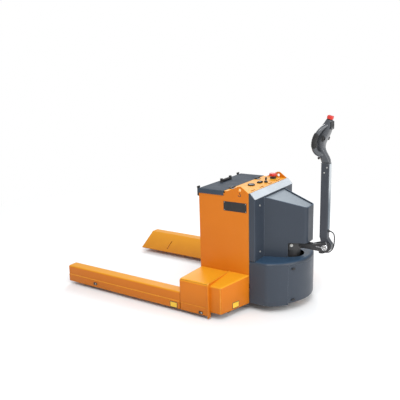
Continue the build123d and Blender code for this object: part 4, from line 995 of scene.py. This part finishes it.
def makeHandle(setup):
    x, half, foot, top, bend = (setup[key] for key in ("x", "half", "foot", "top", "bend"))
    bar = startDisc("lidHandleBar", 20, setup["rod"], (x, -half, foot))
    bpy.ops.object.mode_set(mode="EDIT")
    bpy.ops.mesh.select_mode(type="FACE")
    bpy.ops.mesh.select_all(action="SELECT")
    bpy.ops.mesh.extrude_region_move(TRANSFORM_OT_translate={"value": (0, 0, top - bend - foot)})
    for centre in ((x, -half + bend, top - bend), (x, half - bend, top - bend)):
        bpy.ops.mesh.spin(steps=setup["steps"], angle=-math.pi / 2, center=centre, axis=(1, 0, 0))
        if centre[1] < 0:
            bpy.ops.mesh.extrude_region_move(TRANSFORM_OT_translate={"value": (0, 2 * (half - bend), 0)})
    bpy.ops.mesh.extrude_region_move(TRANSFORM_OT_translate={"value": (0, 0, foot - top + bend)})
    closeUp(bar)
    flanges = [turned("flange", setup["flange"], (x, side * half, foot)) for side in leftRight]
    finishPiece(joined("lidHandleBar", [bar] + flanges), "lid", "black_plastic", ["lid_handle"], angle=50)


makeHandle(handleSetup)
print("handle made")

yellowLook = {
    "light": (0.82, 0.52, 0.03), "dark": (0.74, 0.45, 0.02), "patch": 30,
    "rub": 0.3, "rubColour": (0.86, 0.68, 0.3),
    "edge": 0.0004, "edgeColour": (0.88, 0.66, 0.2), "wearAndHighlight": 0.4,
    "rough": 0.34, "shine": 0.4, "coat": 0.3, "grain": 1500, "grainDepth": 0.06,
}
labelYellow = mouldedPlastic("yellowLabelFilm", yellowLook)

gaugeSetup = {
    "place": (0.404, -0.059, 0.894),
    "bezel": [(0, 0.0272), (0.0030, 0.0272), (0.0042, 0.0258), (0.0042, 0.0240), (0.0014, 0.0232),
              (0.0012, 0.0010)],
    "dial": [(0.0013, 0.0228), (0.0018, 0.0228), (0.0019, 0.0222)],
    "ticks": 9, "sweep": 260, "tickMiddle": 0.0185, "tickLength": 0.0040, "tickWidth": 0.0010,
    "tickBase": 0.0018, "tickThick": 0.0003, "tickEdge": 0.0001,
    "needleLow": (-0.0007, -0.004, 0), "needleHigh": (0.0007, 0.016, 0.0008), "needleTip": 0.25,
    "needleTurn": -62, "needleBase": 0.0022,
    "hub": [(0.0018, 0.0030), (0.0034, 0.0030), (0.0040, 0.0022)],
}


def makeGauge(setup):
    place = Vector(setup["place"])
    finishPiece(turned("gaugeBezel", setup["bezel"], place, sides=40), "fork_frame", "black_plastic")
    finishPiece(turned("gaugeDial", setup["dial"], place, sides=40), "fork_frame", "pale_panel")
    half, reach = setup["tickWidth"] / 2, setup["tickLength"] / 2
    pieces = []
    for number in range(setup["ticks"]):
        degrees = setup["sweep"] * (number / (setup["ticks"] - 1) - 0.5)
        turn = math.radians(degrees)
        mark = startBox("mark", (-half, -reach, 0), (half, reach, setup["tickThick"]))
        bevelEdges(mark, setup["tickEdge"], 1)
        out = Vector((-math.sin(turn), math.cos(turn), 0)) * setup["tickMiddle"]
        pieces.append(layAt(mark, place + out + Vector((0, 0, setup["tickBase"])), degrees))
    needle = startBox("needle", setup["needleLow"], setup["needleHigh"])
    pick(needle, lambda middle, normal: normal.y > 0.9)
    bpy.ops.transform.resize(value=(setup["needleTip"], 1, 1),
                             center_override=(0, setup["needleHigh"][1], 0))
    bpy.ops.object.mode_set(mode="OBJECT")
    pieces.append(layAt(needle, place + Vector((0, 0, setup["needleBase"])), setup["needleTurn"]))
    pieces.append(turned("hub", setup["hub"], place, sides=20))
    finishPiece(joined("gaugeMarks", pieces), "fork_frame", "black_plastic")


makeGauge(gaugeSetup)

meterSetup = {
    "low": (0.406, 0.028, 0.897), "high": (0.434, 0.074, 0.8995), "edge": 0.0008,
    "margin": 0.005, "sunk": -0.0012,
    "wheels": 6, "wheelEnd": 0.007, "wheelSide": 0.008, "wheelGap": 0.0004,
    "wheelLow": 0.0014, "wheelEdge": 0.0006,
}


def makeMeter(setup):
    low, high = Vector(setup["low"]), Vector(setup["high"])
    surround = startBox("meterSurround", low, high)
    bevelEdges(surround, setup["edge"], 2)
    insetFace(surround, lambda middle, normal: normal.z > 0.9, setup["margin"], setup["sunk"])
    finishPiece(surround, "fork_frame", "black_plastic")
    gap, side = setup["wheelGap"], setup["wheelSide"]
    start, end = low.y + setup["wheelEnd"], high.y - setup["wheelEnd"]
    pitch = (end - start) / setup["wheels"]
    wheels = []
    for number in range(setup["wheels"]):
        y = start + number * pitch
        wheel = startBox("wheel", (low.x + side, y + gap, high.z - setup["wheelLow"]),
                         (high.x - side, y + pitch - gap, high.z - gap))
        bevelEdges(wheel, setup["wheelEdge"], 2, lambda middle, way: abs(way.y) > 0.9)
        wheels.append(wheel)
    finishPiece(joined("meterWheels", wheels), "fork_frame", "pale_panel")


makeMeter(meterSetup)

stopSetup = {
    "place": (0.439, 0.240, 0),
    "cap": [(0.884, 0.0078), (0.9125, 0.0078), (0.9130, 0.0290), (0.9160, 0.0308), (0.9240, 0.0310),
            (0.9290, 0.0298), (0.9322, 0.0268), (0.9336, 0.0225), (0.9330, 0.0170), (0.9322, 0.0100),
            (0.9320, 0.0010)],
    "plate": [(0.8882, 0.0370), (0.8894, 0.0370), (0.8898, 0.0364), (0.8898, 0.0245)],
}


def makeStopButton(setup):
    cap = turned("stopButtonCap", setup["cap"], setup["place"], sides=48)
    finishPiece(cap, "stop_button", "red_plastic", ["stop_button"])
    plate = turned("stopButtonPlate", setup["plate"], setup["place"], sides=48)
    finishPiece(plate, "fork_frame", "pale_panel", finish=labelYellow)


makeStopButton(stopSetup)

keySetup = {
    "place": (0.454, 0.087, 0), "bowHeight": 0.918,
    "bow": [(-0.0030, 0.0118), (-0.0022, 0.0130), (0.0022, 0.0130), (0.0030, 0.0118)],
    "neckLow": (-0.0029, -0.0055, 0.900), "neckHigh": (0.0029, 0.0055, 0.909), "neckEdge": 0.001,
    "blade": [(0.883, 0.0036), (0.884, 0.0042), (0.901, 0.0042), (0.902, 0.0034)],
}


def makeKey(setup):
    place = Vector(setup["place"])
    bow = turned("bow", setup["bow"], place + Vector((0, 0, setup["bowHeight"])), (1, 0, 0))
    neck = startBox("neck", place + Vector(setup["neckLow"]), place + Vector(setup["neckHigh"]))
    bevelEdges(neck, setup["neckEdge"], 2)
    blade = turned("blade", setup["blade"], place, sides=20)
    finishPiece(joined("keyHead", [bow, neck]), "key", "black_plastic", ["key"])
    finishPiece(blade, "key", "zinc_steel")


makeKey(keySetup)
print("console made")

coverTrimSetup = {
    "face": 0.571, "sides": 0.240, "heights": (0.442, 0.790),
    "rings": [(-0.003, 0.0082), (0.0014, 0.0082), (0.0030, 0.0070), (0.0037, 0.0046), (0.0037, 0.0036),
              (0.0018, 0.0034)],
}


def makeCoverScrews(setup):
    heads = [turned("head", setup["rings"], (setup["face"], side * setup["sides"], z), (1, 0, 0), 24)
             for side in leftRight for z in setup["heights"]]
    finishPiece(joined("coverScrewHeads", heads), "chassis", "zinc_steel", ["cover_screws"])


makeCoverScrews(coverTrimSetup)

plateSetup = {
    "wall": 0.322, "low": (0.315, 0.743), "high": (0.506, 0.813), "thick": 0.0014,
    "corner": 0.003, "edge": 0.0005,
    "rivet": [(0, 0.0028), (0.0006, 0.0028), (0.0013, 0.0018), (0.0015, 0.0006)], "rivetIn": 0.007,
    "rivetSeat": 0.0004,
    # the hook mark beside the lifting hole, in shares of its size
    "hook": (0.449, 0.869), "hookSize": 0.0125, "hookLine": 0.0024, "hookFlat": 0.12,
    "hookRoute": [(0.15, 1.5), (0.15, 1.0), (0.10, 0.62), (0.62, 0.35), (0.85, -0.15), (0.62, -0.72),
                  (0.0, -0.95), (-0.62, -0.72), (-0.85, -0.15)],
}


def makePlates(setup):
    wall, outer = setup["wall"], setup["wall"] + setup["thick"]
    (x0, z0), (x1, z1) = setup["low"], setup["high"]
    (hookX, hookZ), size, flat = setup["hook"], setup["hookSize"], setup["hookFlat"]
    inset = setup["rivetIn"]
    plates, rivets, hooks = [], [], []
    for side in leftRight:
        inner, outerY = sorted((side * wall, side * outer))
        plate = startBox("plate", (x0, inner, z0), (x1, outerY, z1))
        bevelEdges(plate, setup["corner"], 3, lambda middle, way: abs(way.y) > 0.9)
        bevelEdges(plate, setup["edge"], 2, lambda middle, way: abs(middle.y) > outer - 0.0001)
        plates.append(plate)
        seat = side * (outer - setup["rivetSeat"])
        rivets += [turned("rivet", setup["rivet"], (x, seat, z), (0, side, 0), 16)
                   for x in (x0 + inset, x1 - inset) for z in (z0 + inset, z1 - inset)]
        route = [(hookX + a * size, side * (wall + 0.0001), hookZ + b * size)
                 for a, b in setup["hookRoute"]]
        hook = pipe("hook", route, setup["hookLine"], sides=3, rounding=6)
        choose(hook)
        hook.scale = (1, flat, 1)
        hook.location = (0, side * wall * (1 - flat), 0)
        settle()
        hooks.append(hook)
    finishPiece(joined("sidePlates", plates), "fork_frame", "black_plastic", angle=4)
    finishPiece(joined("sidePlateRivets", rivets), "fork_frame", "zinc_steel")
    finishPiece(joined("liftingPointMarks", hooks), "fork_frame", "black_plastic")


makePlates(plateSetup)

labelSetup = {
    "half": (0.0340, 0.0235), "border": 0.0045, "thick": 0.0007, "film": 0.0004, "sunk": 0.0002,
    "corner": 0.004,
    "places": [((0.0475, -0.6220, 0.0545), 0), ((0.4850, -0.4554, 0.0860), 74.52)],
}


def makeLabel(setup, inner, thick):    # one blank film per place, and its mirror on the far side
    wide, tall = (half - inner for half in setup["half"])
    labels = []
    for place, turn in setup["places"]:
        label = startBox("label", (-wide, -thick, -tall), (wide, setup["sunk"], tall))
        bevelEdges(label, setup["corner"] - inner / 2, 3, lambda middle, way: abs(way.y) > 0.9)
        layAt(label, place, turn)
        labels += [label, copyOf(label, "label")]
    return labels


def makeLabels(setup):
    borders = makeLabel(setup, 0, setup["thick"])
    finishPiece(joined("labelBorders", borders), "fork_frame", "black_plastic")
    films = makeLabel(setup, setup["border"], setup["thick"] + setup["film"])
    finishPiece(joined("labelFilms", films), "fork_frame", "pale_panel", finish=labelYellow)


makeLabels(labelSetup)
print("plates and labels made")
